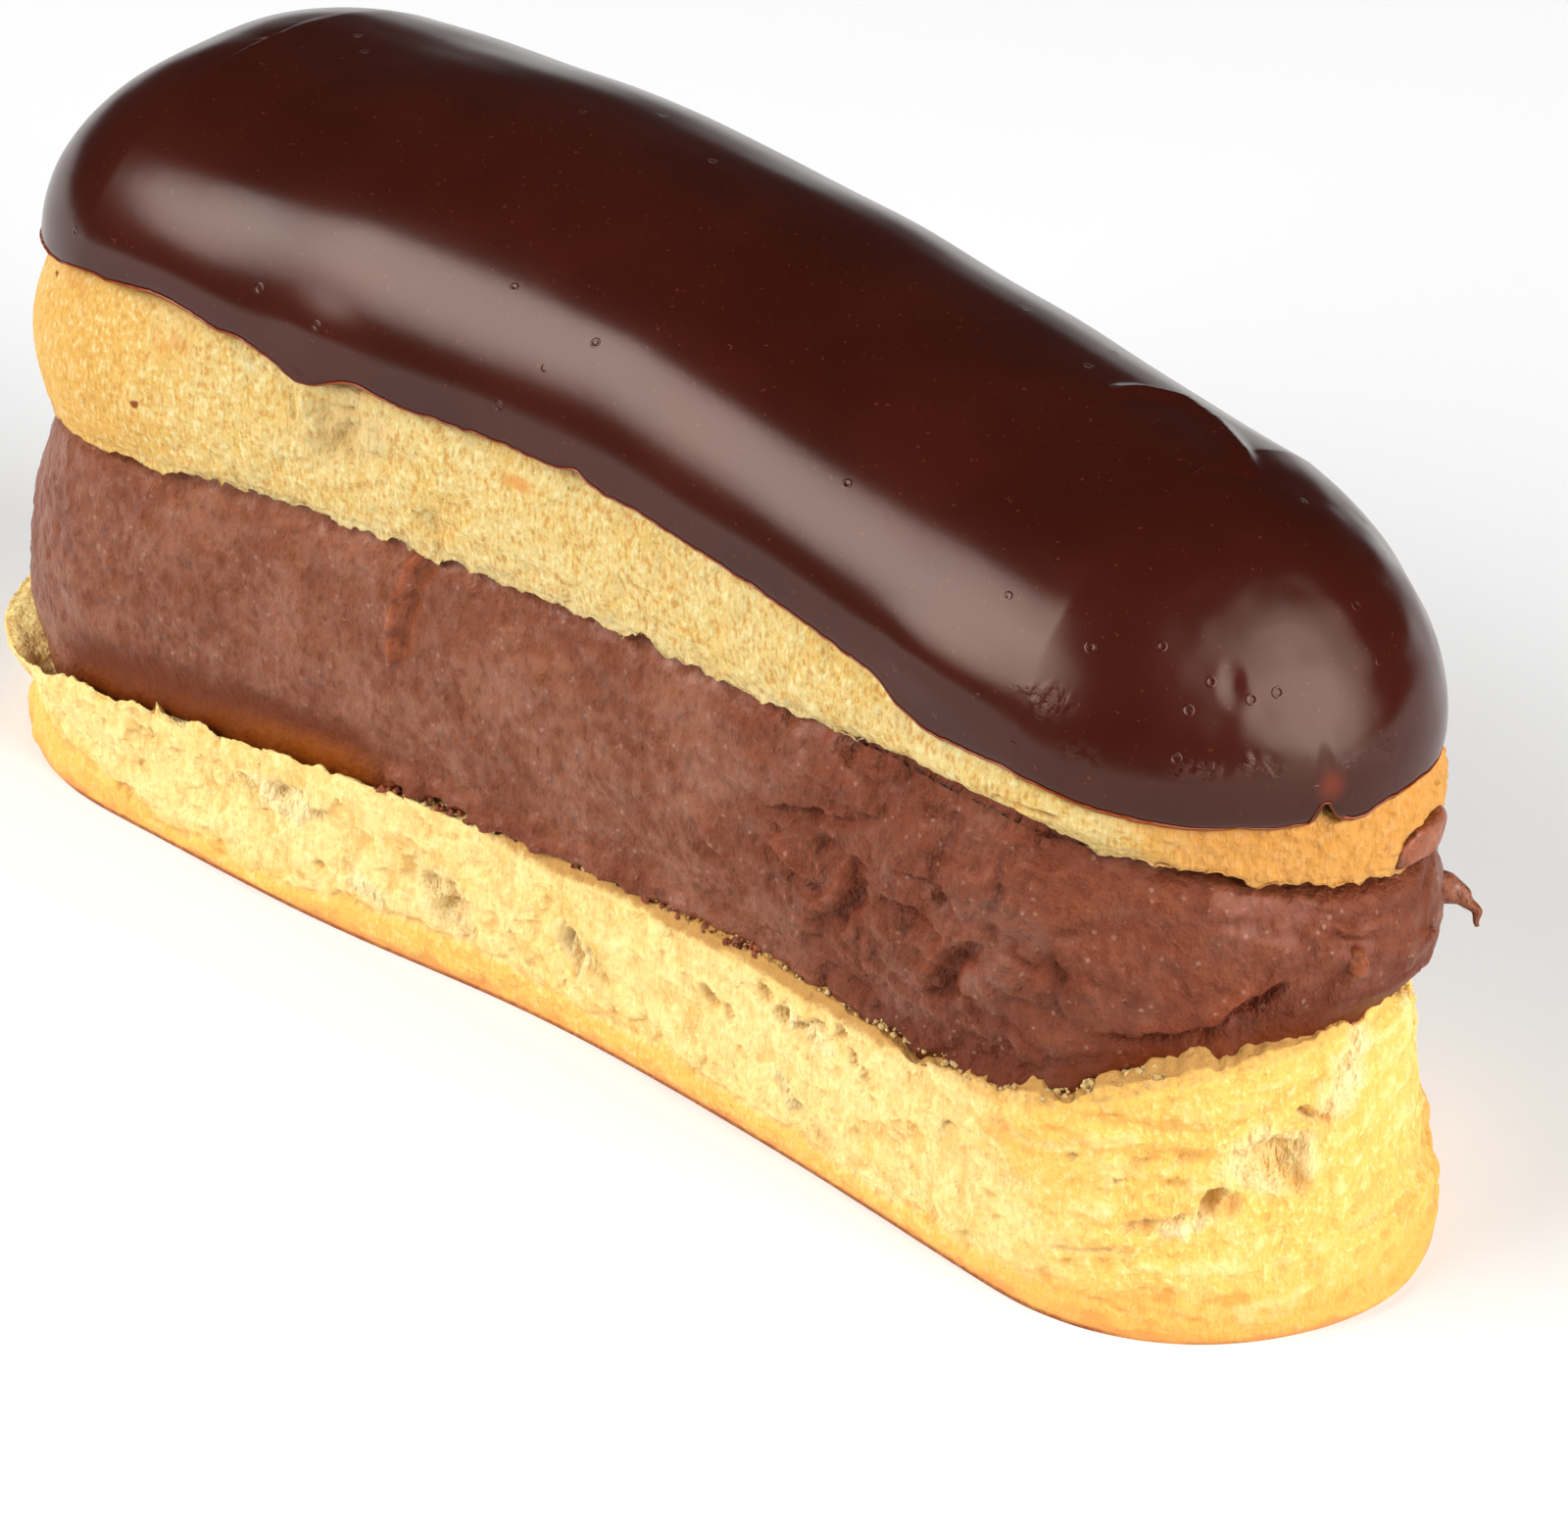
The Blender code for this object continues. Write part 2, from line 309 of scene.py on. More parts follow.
# %% [markdown]
# ## Skins
#
# A skin is a sheet of points wrapped round the spine: one column for each turn and one row for each step
# up the wall. Columns stand close together where the eclair is looked at and further apart behind.
# Marks are pushed in or pulled out along the surface's own direction, so a pore is always a hole.
# Every mark's outline is shaken a little, because nothing that tears leaves a perfect oval.

# %% Columns
FINE = 0.27 * MM
COARSE = 0.9 * MM


def columns():
    """Turns of the columns: fine along the front and the near end, coarse behind."""
    turns = [0.0]
    while turns[-1] < 1:
        here = turns[-1]
        speed = 4 * WALL_REACH * math.pi
        if 0.125 < here < 0.375 or 0.625 < here < 0.875:
            speed = 4 * (SPINE[1] - SPINE[0])
        step = COARSE if 0.66 < here < 0.96 else FINE
        turns.append(here + step / speed)
    return np.array(turns[:-1]) / turns[-1]


TURNS = columns()
print(f"{len(TURNS)} columns")


# %% The skin class
class Skin:
    """Rows of points wrapped round the spine. Marks are given in mm: a mark is a sheet of numbers from 0
    to 1 that says where it is, and pushing moves the points out by so many mm."""

    def __init__(self, rows):
        self.points = np.array([stand(TURNS, reach, height) for reach, height in rows])
        self.turn = np.broadcast_to(TURNS, self.points.shape[:2])
        self.walk = walked(self.turn) / MM
        self.rest = self.points.copy()
        self.row = np.arange(len(rows))[:, None]
        self.up = self.rest[..., 2] / MM
        self.shake = (rough(self.rest, 1.8, 3, 81), rough(self.rest, 1.8, 3, 85))
        self.masks = {}

    def soften(self, first, last, times):
        """Rounds the corners of the measured walls between two rows."""
        for _ in range(times):
            part = self.points[first:last]
            part[1:-1] = (part[:-2] + 2 * part[1:-1] + part[2:]) / 4

    def push(self, amount):
        padded = np.concatenate([self.points[:, -1:], self.points, self.points[:, :1]], axis=1)
        way = np.cross(padded[:, 2:] - padded[:, :-2], np.gradient(self.points, axis=0))
        way /= np.maximum(np.linalg.norm(way, axis=-1, keepdims=True), 1e-12)
        self.points += way * amount[..., None] * MM

    def away(self, turn):
        """How far along the wall from a turn, to either side."""
        half = ROUND / MM / 2
        return (self.walk - walked(turn) / MM + half) % (2 * half) - half

    def spot(self, turn, up, wide, tall, soft=0.5, lean=0.0, torn=0.3):
        """A round mark. It may lean over, and its outline is as torn as asked."""
        side = self.away(turn) + self.shake[0] * torn
        rise = self.up - up - side * lean + self.shake[1] * torn
        radius = np.hypot(side / (wide / 2), rise / (tall / 2))
        return fall(1 - soft, 1 + soft * 0.4, radius)

    def stroke(self, route, width, torn=0.2):
        """A line mark through (turn, up) places. Also how far along it each point stands, from 0 to 1,
        and its distance to the side, positive above a line that runs towards the near end."""
        gone_all, up_all = self.shake[0] * torn, self.up + self.shake[1] * torn
        nearest = np.full(self.walk.shape, 99.0)
        share, side = np.zeros(self.walk.shape), np.zeros(self.walk.shape)
        for number, (start, stop) in enumerate(zip(route, route[1:])):
            run = float(walked(stop[0]) - walked(start[0])) / MM
            rise = stop[1] - start[1]
            gone, up = self.away(start[0]) + gone_all, up_all - start[1]
            part = np.clip((gone * run + up * rise) / (run**2 + rise**2), 0, 1)
            gap = np.hypot(gone - part * run, up - part * rise)
            closer = gap < nearest
            nearest = np.where(closer, gap, nearest)
            share = np.where(closer, (number + part) / (len(route) - 1), share)
            side = np.where(closer, np.sign(up * run - gone * rise) * gap, side)
        return hump(nearest, width), share, side

    def piece(self, name):
        """The closed piece, welded where its rows meet on the spine."""
        return finished(name, self.points, quads_round(self.points), self.masks)


# %% From points to a piece
WELD = 0.002 * MM  # points closer than this become one


def quads_round(points):
    """Faces between rows of points, each row closed on itself."""
    rows, count = points.shape[:2]
    number = np.arange(rows * count).reshape(rows, count)
    right = np.roll(number, -1, axis=1)
    return np.stack([number[:-1], right[:-1], right[1:], number[1:]], axis=-1).reshape(-1, 4).tolist()


def in_scene(name, data):
    """An object for a mesh, a lamp or a camera."""
    made = bpy.data.objects.new(name, data)
    bpy.context.scene.collection.objects.link(made)
    return made


def finished(name, points, faces, masks):
    """A piece in the scene, with a value for every point in each mask. It is welded first, so that it is
    closed, and its faces are turned outwards."""
    mesh = bpy.data.meshes.new(name)
    mesh.from_pydata(points.reshape(-1, 3).tolist(), [], faces)
    for mask_name, values in masks.items():
        layer = mesh.attributes.new(mask_name, "FLOAT", "POINT")
        values = np.clip(np.broadcast_to(values, points.shape[:-1]), 0, 1)
        layer.data.foreach_set("value", values.astype(np.float32).ravel())
    shape = bmesh.new()
    shape.from_mesh(mesh)
    bmesh.ops.remove_doubles(shape, verts=shape.verts, dist=WELD)
    bmesh.ops.recalc_face_normals(shape, faces=shape.faces)
    shape.to_mesh(mesh)
    triangles = sum(len(face.verts) - 2 for face in shape.faces)
    shape.free()
    mesh.shade_smooth()
    print(f"{name}: {triangles} triangles")
    return in_scene(name, mesh)


# %% [markdown]
# ## Finishes as sums
#
# A shader is a network of boxes, but it is easier to read as sums. A Flow is what comes out of one socket.
# Adding or multiplying flows adds Math nodes behind the scenes, and one method makes any other node.

# %% The flow class
class Flow:
    """What flows out of one socket of a material's node tree."""

    def __init__(self, tree, socket=None):
        self.tree = tree
        self.socket = socket

    def node(self, kind, settings=None, sockets=None, out=0):
        """A new node: its settings first, then a value or a flow for each named socket."""
        made = self.tree.nodes.new(kind)
        for name, value in (settings or {}).items():
            setattr(made, name, value)
        for name, value in (sockets or {}).items():
            feed(self.tree, made.inputs[name], value)
        return Flow(self.tree, made.outputs[out])

    def maths(self, operation, *terms):
        return self.node("ShaderNodeMath", {"operation": operation}, dict(enumerate(terms)))

    def __add__(self, other):
        return self.maths("ADD", self, other)

    def __sub__(self, other):
        return self.maths("SUBTRACT", self, other)

    def __rsub__(self, other):
        return self.maths("SUBTRACT", other, self)

    def __mul__(self, other):
        return self.maths("MULTIPLY", self, other)

    __radd__ = __add__
    __rmul__ = __mul__

    def between(self, low_end, high_end):
        """0 to 1 as the value goes from the low end to the high end, smoothly."""
        return self.node(
            "ShaderNodeMapRange",
            {"interpolation_type": "SMOOTHSTEP"},
            {"Value": self, "From Min": low_end, "From Max": high_end},
        )

    def mixed(self, first, second):
        """A colour between two others, by this value."""
        return self.node("ShaderNodeMix", {"data_type": "RGBA"}, {0: self, 6: first, 7: second}, out=2)


def feed(tree, socket, value):
    """A flow is linked to the socket, anything else is set on it."""
    if isinstance(value, Flow):
        tree.links.new(value.socket, socket)
    else:
        socket.default_value = value


def settle(flow, shader, sockets):
    """Fills sockets of a material's shader node, each with a number, a colour or a flow."""
    for name, value in sockets.items():
        feed(flow.tree, shader.inputs[name], value)


# %% Colours and materials
def colour(red, green, blue):
    """A screen colour, 0 to 255, as the light it stands for."""
    parts = (part / 255 for part in (red, green, blue))
    return (*(part / 12.92 if part <= 0.04045 else ((part + 0.055) / 1.055) ** 2.4 for part in parts), 1)


def start_finish(name):
    """A new material: its shader node and a flow to build on."""
    made = bpy.data.materials.new(name)
    made.use_nodes = True
    return made, made.node_tree.nodes["Principled BSDF"], Flow(made.node_tree)


# %% Patterns and masks
def place_of(flow):
    """Where a point of the surface is, in metres."""
    return flow.node("ShaderNodeTexCoord", out="Object")


def stretched(flow, place, scale, turned=(0, 0, 0)):
    """Places turned and then multiplied along each axis, so that what is drawn there is squeezed."""
    return flow.node("ShaderNodeMapping", None, {"Vector": place, "Scale": scale, "Rotation": turned})


def speckle(flow, place, size, detail=2.0, roughness=0.55):
    """Noise around 0.5 whose blotches are about `size` mm across."""
    return flow.node(
        "ShaderNodeTexNoise", None,
        {"Vector": place, "Scale": 1 / (size * MM), "Detail": detail, "Roughness": roughness},
    )


def mask(flow, name):
    return flow.node("ShaderNodeAttribute", {"attribute_name": name}, out="Fac")


def bumped(flow, height, depth):
    """A surface direction tilted by heights from 0 to 1 that stand for `depth` mm."""
    return flow.node("ShaderNodeBump", None, {"Height": height, "Distance": depth * MM}, out="Normal")


# %% Dressing a piece
def dressed(piece, material, node=None):
    """Gives a piece its finish and the body it rides on, and hides the solid it stands for, if any."""
    piece.data.materials.append(material)
    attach(piece, "root")
    if node:
        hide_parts(node)


# %% [markdown]
# ## Baked choux
#
# Choux is pale and spongy where it tore or was sawn, golden where it baked, and brown where it lay on the
# tray. One recipe makes both halves: the crumb's own colour wanders between pale and yellow, its fine
# grain is drawn light and dark, and masks on the skin bring in the torn fibres, the toasted and browned
# crust and the crumb that the cream has wetted. They also paint shade into hollows, dents, sunken crumb
# and under the icing's lip, and paint light onto raised crumb. Light goes a short way into crumb, so the
# shader lets some scatter under the surface.

# %% The choux finish
# LIGHT and SHADE draw the grain, and also painted light on raised crumb and painted shade on sunken crumb
PALE, YELLOW, LIGHT = colour(241, 213, 141), colour(238, 200, 114), colour(250, 233, 170)
# HOLLOW_SHADE is the painted shade of holes, dents and the gaps between fibres
SHADE, HOLLOW_SHADE, FIBRE = colour(220, 162, 80), colour(226, 184, 110), colour(246, 228, 178)
GOLD, AMBER, BROWN = colour(241, 190, 94), colour(229, 149, 62), colour(228, 150, 76)
BURNT, WET_AND_SHADE, STAIN = colour(150, 74, 30), colour(190, 142, 76), colour(142, 74, 34)


def choux_finish(name, warmth, contrast, brightness):
    made, shader, flow = start_finish(name)
    place = place_of(flow)
    cloud = speckle(flow, place, 8)
    patch = speckle(flow, place, 2.2, detail=3)
    crumb = speckle(flow, place, 0.6, detail=2, roughness=0.6)
    fibre = speckle(flow, stretched(flow, place, (1, 1, 0.3)), 0.3, detail=1)
    grain_mix = crumb * 0.6 + fibre * 0.4
    raised = mask(flow, "raised")
    body = (cloud * 0.5 + patch * 0.5 + warmth).between(0.42, 0.72).mixed(PALE, YELLOW)
    gold = mask(flow, "gold") + (patch - 0.5) * 0.8
    body = gold.between(0.15, 0.9).mixed(body, GOLD)
    body = (grain_mix.between(0.5, 0.36) * contrast).mixed(body, SHADE)
    # Painted shade where the crumb sinks in
    body = (raised.between(0.47, 0.1) * 0.5).mixed(body, SHADE)
    body = (grain_mix.between(0.52, 0.64) * contrast).mixed(body, LIGHT)
    # Painted light where the crumb stands out
    body = (raised.between(0.55, 0.95) * 0.4).mixed(body, LIGHT)
    torn = mask(flow, "torn")
    body = (torn * 0.7).mixed(body, FIBRE)
    # Painted shade in the gaps between torn fibres
    body = (torn * fibre.between(0.50, 0.36) * 0.55).mixed(body, HOLLOW_SHADE)
    # Painted shade in holes, pores, cracks, dents and the slit
    body = (mask(flow, "hollow") * 0.8).mixed(body, HOLLOW_SHADE)
    # Toasted colour, and painted shade in sunken crumb and under the icing's lip
    body = ((mask(flow, "amber") + (crumb - 0.5) * 0.8).between(0.2, 1.0) * 0.74).mixed(body, AMBER)
    browned = mask(flow, "brown") * (patch * 1.6 + 0.2)
    body = (browned.between(0.1, 0.95) * 0.9).mixed(body, BROWN)
    body = (mask(flow, "burnt") + (crumb - 0.5) * 0.5).between(0.3, 0.9).mixed(body, BURNT)
    # Crumb soaked by the cream, and on the upper half painted shade in the crease and along the cut edge
    body = (mask(flow, "wet_and_shade") + (crumb - 0.5) * 0.9).between(0.25, 0.85).mixed(body, WET_AND_SHADE)
    body = (mask(flow, "stain") + (crumb - 0.5) * 0.5).between(0.3, 0.8).mixed(body, STAIN)
    body = flow.node("ShaderNodeVectorMath", {"operation": "SCALE"}, {"Vector": body, "Scale": brightness})
    smooth = mask(flow, "gold") * 0.1 + mask(flow, "brown") * 0.15 + mask(flow, "stain") * 0.4
    relief = crumb * 0.5 + fibre * (0.2 + torn * 0.5) + patch * 0.6
    relief = relief * (1 - mask(flow, "brown") * 0.6)
    settle(flow, shader, {
        "Base Color": body,
        "Roughness": 0.78 - smooth,
        "Normal": bumped(flow, relief, 0.5),
        "Subsurface Weight": 0.2,
        "Subsurface Radius": (1.0, 0.6, 0.25),
        "Subsurface Scale": 1.0 * MM,
        "Specular IOR Level": 0.2,
    })
    return made


# %% [markdown]
# ## The lower half of the bun
#
# Its wall was torn more than cut. Below is a hard brown crust with a wavy top, above it pale crumb with
# pores of every size, and along the top a ragged rim. At the near end the wall stands tall, with a toasted
# skin, two deep holes that a crack joins and patches of torn fibre. The rows go from the middle of the
# sole, up the wall, over the rim and across a shelf of crumb that runs in under the cream. There, and just
# under the rim, the crumb has soaked up chocolate.

# %% Rows of the lower half
BASE_ROWS = 84


def ragged(size, seed, layers=2):
    """An uneven edge: values from -1 to 1 for each column."""
    return rough(stand(TURNS, WALL_REACH, 0.0), size, layers, seed)


RIM_NICKS = (  # turn, half width and drop in mm
    (0.353, 1.8, 0.9), (0.399, 1.5, 0.8), (0.11, 2.0, -0.3), (0.1415, 0.35, -0.9), (0.129, 1.4, 0.4),
    (0.156, 0.7, -0.3), (0.19, 0.6, -0.3), (0.206, 2.0, 0.3), (0.37, 1.2, -0.4), (0.474, 1.6, -0.4),
    (0.486, 1.2, 0.5), (0.5, 2.0, -0.3), (0.402, 7.0, -0.7), (0.527, 2.6, 2.0),
)
rim = read(rim_height, TURNS)
nicks = sum(drop * beside(TURNS, turn, half) for turn, half, drop in RIM_NICKS)
rim_edge = rim + (ragged(5, 11) * 0.20 + ragged(1.5, 12) * 0.20 + ragged(0.7, 13) * 0.20 - nicks) * MM
sole_reach = base_wall.reach(TURNS, 0 * TURNS)
base_rows = [(sole_reach * share, 0 * rim) for share in (0.0, 0.3, 0.6, 0.85, 0.97)]
SOLE_ROW = len(base_rows) - 1
RIM_ROW = SOLE_ROW + BASE_ROWS
for share in np.linspace(0, 1, BASE_ROWS):
    base_rows.append((base_wall.reach(TURNS, rim * share), rim_edge * share))
print(f"the rim is {rim_edge.min() / MM:.1f} to {rim_edge.max() / MM:.1f} mm high")

# %% The shelf under the cream
rim_reach = base_wall.reach(TURNS, rim)
shelf_rise = between_turns(TURNS, 0.23, 0.345) + 0.8 * between_turns(TURNS, 0.36, 0.52)
shelf_rise -= 3.4 * between_turns(TURNS, 0.09, 0.205)
shelf_rise += 0.9 * fall(0.04, 0.09, TURNS) + 0.9 * ease(0.90, 0.95, TURNS)
SHELF = ((0.25, 0.0), (0.6, 0.2), (1.0, 0.45), (1.5, 0.75), (2.1, 0.95), (2.8, 1.05), (3.6, 1.0), (4.8, 0.6))
for inwards, rise in SHELF:
    base_rows.append((rim_reach - inwards * MM, rim_edge + (shelf_rise * rise - 0.05) * MM))
for share in (1.0, 0.5, 0.0):
    base_rows.append(((rim_reach - 6.5 * MM) * share, rim - 2.0 * MM))
base = Skin(base_rows)
print(f"{len(base_rows)} rows")

# %% Where the wall and the shelf are
row = base.row
wall_share = np.clip(base.up * MM / rim, 0, 1)
off_sole, above_foot = row > SOLE_ROW, row > SOLE_ROW + 1
above_rim_line = base.up - rim / MM
on_wall = ease(0.02, 0.10, wall_share) * above_foot
on_shelf = ease(RIM_ROW, RIM_ROW + 3, row)
near_end = ease(0.36, 0.42, base.turn) * fall(0.58, 0.74, base.turn + 0.02 * base.shake[0])
print(f"{near_end.mean():.0%} of the lower half belongs to the near end")

# %% Holes
HOLES = (  # turn, height, width, tallness, depth in mm, lean
    (0.2235, 7.9, 5.8, 4.4, 0.8, -0.35), (0.229, 6.4, 3.6, 2.4, 0.8, -0.6),
    (0.216, 8.6, 3.6, 1.8, 0.6, 0.0), (0.238, 7.9, 2.4, 1.4, 0.4, -0.3), (0.2594, 8.8, 2.4, 2.8, 0.7, -0.6),
    (0.2665, 7.2, 1.8, 2.8, 0.5, -0.8), (0.27, 5.6, 2.2, 1.0, 0.5, -0.8),
    (0.2981, 11.4, 1.5, 1.6, 1.1, -0.5), (0.3036, 10.7, 1.2, 1.2, 0.8, -0.5),
    (0.313, 14.3, 1.5, 1.0, 1.0, -0.4), (0.3174, 13.3, 1.4, 1.2, 1.1, -0.5),
    (0.3218, 12.9, 1.0, 0.9, 0.8, 0.0), (0.3293, 14.2, 1.7, 0.8, 1.2, -0.1),
    (0.3346, 14.9, 1.2, 1.1, 1.1, -0.3), (0.3381, 13.2, 1.1, 1.2, 0.9, -0.8),
    (0.3415, 12.4, 1.0, 1.1, 0.7, -0.8), (0.325, 13.6, 1.0, 0.7, 0.7, 0.0),
    (0.1694, 9.6, 2.6, 1.6, 0.7, -0.2), (0.1787, 10.4, 1.8, 1.4, 0.6, 0.0),
    (0.19, 10.4, 2.0, 1.2, 0.6, 0.2), (0.456, 14.9, 4.8, 3.8, 1.4, -0.3),
    (0.464, 12.4, 2.2, 3.0, 1.3, -0.5), (0.4385, 12.0, 1.9, 2.6, 2.0, 0.6),
    (0.444, 11.7, 1.5, 2.0, 0.7, 0.0), (0.47, 17.0, 3.4, 1.2, 1.6, -0.9), (0.479, 20.4, 1.6, 2.6, 0.9, 0.4),
    (0.462, 17.8, 1.2, 0.8, 0.6, 0.0), (0.148, 12.6, 2.6, 1.2, 0.5, 0.1), (0.135, 11.0, 2.2, 1.0, 0.4, 0.1),
    (0.402, 15.0, 0.9, 0.6, 0.5, 0.2), (0.414, 13.9, 1.1, 0.5, 0.5, 0.3), (0.419, 15.4, 1.8, 0.9, 0.5, 0.2),
    (0.43, 15.8, 2.0, 1.5, 0.5, 0.5),
)
dents, hollow, pores = np.zeros((3, *base.walk.shape))
for turn, up, wide, tall, depth, lean in HOLES:
    dent = base.spot(turn, up, wide, tall, 0.45, lean, torn=min(0.9, wide * 0.2))
    dents = np.maximum(dents, dent * depth)
    hollow = np.maximum(hollow, dent * min(1.0, depth / 1.5))
print(f"{len(HOLES)} holes, up to {dents.max():.1f} mm deep")

# %% Cracks
CRACKS = (  # route of (turn, height), width and depth in mm
    (((0.413, 9.5), (0.422, 10.2), (0.43, 10.9), (0.438, 11.6)), 0.42, 1.6),
    (((0.3941, 6.4), (0.402, 7.0), (0.411, 7.6), (0.419, 7.6)), 0.3, 0.7),
    (((0.4773, 7.5), (0.483, 6.9), (0.4888, 6.6), (0.499, 6.8)), 0.28, 0.8),
    (((0.3443, 8.8), (0.349, 8.7), (0.3535, 8.9)), 0.28, 0.6),
    (((0.3265, 4.2), (0.331, 4.0), (0.336, 3.6)), 0.35, 0.6),
    (((0.316, 7.4), (0.323, 6.2), (0.331, 4.8)), 0.4, 0.6),
    (((0.373, 15.4), (0.3806, 15.1), (0.3907, 15.0), (0.4034, 15.4)), 0.28, 0.6),
    (((0.356, 12.4), (0.364, 12.6), (0.3725, 13.2)), 0.25, 0.5),
    (((0.484, 22.0), (0.48, 20.0), (0.474, 18.2)), 0.4, 0.9),
    (((0.366, 5.6), (0.372, 6.4), (0.38, 6.6)), 0.25, 0.4),
)
for route, width, depth in CRACKS:
    line, share, _ = base.stroke(route, width, torn=0.3)
    fade = (1 - np.abs(share * 2 - 1) ** 4) * (0.6 + 0.4 * grain(base.rest, 0.8, 5))
    dents = np.maximum(dents, line * fade * depth)
    hollow = np.maximum(hollow, line * fade * min(1.0, depth))
print(f"{len(CRACKS)} cracks")

# %% Pores and torn fibre
PORES = 110
chance = np.random.default_rng(7)
for _ in range(PORES):
    turn, share = chance.uniform(0, 1), chance.uniform(0.2, 0.97)
    size = chance.uniform(0.55, 1.0) ** 2 * 1.3
    up = share * float(read(rim_height, np.array([turn]))[0]) / MM
    pores = np.maximum(pores, base.spot(turn, up, size * 1.7, size, soft=0.6) * size * 0.4)

TORN = (  # turn, height, width, tallness in mm, lean: patches of bare fibre
    (0.482, 19.4, 6.5, 7.0, 0.5), (0.456, 14.9, 8.0, 6.0, -0.3), (0.432, 10.3, 4.6, 1.6, 0.2),
    (0.179, 10.2, 9.0, 3.4, 0.1), (0.224, 7.8, 7.0, 5.6, -0.4), (0.204, 5.6, 5.0, 1.8, -0.2),
    (0.26, 8.6, 3.4, 4.0, -0.6), (0.322, 6.2, 5.0, 1.6, -0.8), (0.323, 13.4, 7.0, 2.0, -0.1),
)
torn = np.maximum.reduce([base.spot(*place, 0.5, lean, torn=0.8) for *place, lean in TORN])
print(f"{PORES} pores, up to {pores.max():.1f} mm deep, and {len(TORN)} torn patches")

# %% The crust from the tray
CRUST_TOP = (  # turn and height in mm
    (0.0, 5.0), (0.09, 4.8), (0.11, 4.8), (0.125, 3.7), (0.14, 2.2), (0.155, 3.0), (0.17, 2.4),
    (0.185, 3.0), (0.20, 4.8), (0.235, 5.4), (0.25, 4.3), (0.27, 3.9), (0.285, 5.2), (0.30, 4.1),
    (0.32, 4.1), (0.345, 3.1), (0.38, 3.4), (0.41, 3.4), (0.45, 2.2), (0.49, 2.8), (0.56, 3.2), (0.75, 3.0),
)
tray = 0.78 * steps(TURNS, CRUST_TOP) + 0.5 * ragged(2.5, 21, 3) + 0.3 * ragged(0.9, 24)
crust = fall(-0.5, 0.4, base.up - tray)
crust_edge = hump(base.up - tray - 0.25, 0.35)
print(f"the crust is {tray.min():.1f} to {tray.max():.1f} mm high")

# %% Crumb, and the push
scales, _ = plates(base.rest * (1, 1, 1.2), 2.6, 91)
ledges = rough(base.rest * (0.4, 0.4, 1.5), 2.0, 3, 95)
flakes = rough(base.rest * (0.7, 0.7, 1.3), 0.9, 2, 97)
fibres = rough(base.rest * (1.5, 1.5, 0.4), 0.9, 2, 6)
swell = rough(base.rest, 8, 2, 1) * 0.30 + rough(base.rest, 2.6, 2, 2) * 0.16
fine = rough(base.rest * (1, 1, 0.7), 0.95, 2, 3) * 0.14 + (scales - 0.5) * 0.22 * (1 - near_end)
fine += (ledges * 0.26 + flakes * 0.18) * near_end
soft_part = on_wall * (1 - 0.8 * crust)
near_rim = ease(-1.4, -0.2, above_rim_line)
push = swell * np.maximum(on_wall * (1 - 0.7 * near_rim), on_shelf * 0.6)
push += (fine * (1 - 0.5 * near_rim) + torn * (fibres * 0.6 - 0.3) - dents - pores) * soft_part
push += on_wall * (0.12 * crust - 0.16 * crust_edge) + crust * on_wall * rough(base.rest, 1.6, 2, 22) * 0.14
push += on_shelf * (rough(base.rest, 0.9, 2, 7) * 0.30 + rough(base.rest, 2.4, 1, 8) * 0.15)
lip = beside(base.turn, 0.487, 6.0) * hump(base.up - 0.8, 0.7)
lip += beside(base.turn, 0.512, 5.0) * hump(base.up - 4.8, 1.0) * 0.6
base.push((push + lip * 0.8) * off_sole)
print(f"pushed {push.min():.1f} to {push.max():.1f} mm")

# %% Masks of the lower half
low_down = fall(0.3, 2.4, base.up)
# The wall's relief, for painted light on raised crumb and painted shade on sunken crumb
base.masks["raised"] = 0.5 + (fine * 1.2 + torn * fibres * 0.5 + fibres * 0.15) * soft_part
# Painted shade in the holes, cracks and pores
base.masks["hollow"] = np.maximum(hollow, pores * 0.5) * soft_part
base.masks["torn"] = np.maximum(torn, hollow * 0.7) * soft_part
baked = fall(0.05, 0.6, base.up / tray + base.shake[0] * 0.25)
crust_line = crust_edge * ease(-0.1, 0.4, rough(base.rest, 3.0, 2, 23)) * 0.5
base.masks["brown"] = (baked * 0.7 + low_down * 0.2 + crust_line) * off_sole
toasted = base.spot(0.416, 16.0, 42.0, 12.0, soft=0.8, torn=1.0)
base.masks["gold"] = 0.5 * toasted + 0.6 * crust + 0.3 * fall(0.0, 2.5, base.up - tray) + 0.8 * near_end
base.masks["gold"] += 0.35 * fall(0.17, 0.21, base.turn) * fall(1.0, 4.5, base.up - tray)

# %% Toasted spots, and the underside
AMBERS = (  # turn, height, width, tallness in mm
    (0.389, 14.4, 3.0, 1.4), (0.4185, 15.3, 3.2, 1.4), (0.43, 16.0, 2.4, 2.0), (0.4437, 4.6, 2.2, 1.0),
    (0.447, 19.6, 2.6, 1.6), (0.4715, 21.6, 1.6, 3.0), (0.4645, 11.8, 1.8, 2.2), (0.444, 11.6, 2.0, 2.4),
    (0.375, 14.8, 8.0, 1.6), (0.248, 6.4, 4.0, 2.2), (0.156, 12.6, 2.0, 1.0), (0.27, 4.8, 7.0, 2.0),
    (0.33, 4.2, 4.0, 1.2), (0.349, 8.6, 3.0, 0.8), (0.4, 16.4, 9.0, 1.4), (0.238, 7.0, 3.0, 1.6),
)
amber = np.maximum.reduce([base.spot(*place, soft=0.9, torn=0.8) for place in AMBERS])
low_near = fall(1.5, 7.5, base.up) * between_turns(base.turn, 0.37, 0.62, 0.04)
# Toasted spots, painted shade in the near end's sunken crumb, and a warm band low on the near end
base.masks["amber"] = amber * 0.7 + ease(0.06, 0.4, -fine) * near_end * 0.5 + low_near * 0.62
base.masks["amber"] += 0.4 * crust * fall(0.19, 0.23, base.turn)
burnt = fall(0.25, 0.8, base.up) * between_turns(base.turn, 0.10, 0.42)
base.masks["burnt"] = burnt * off_sole * 0.75

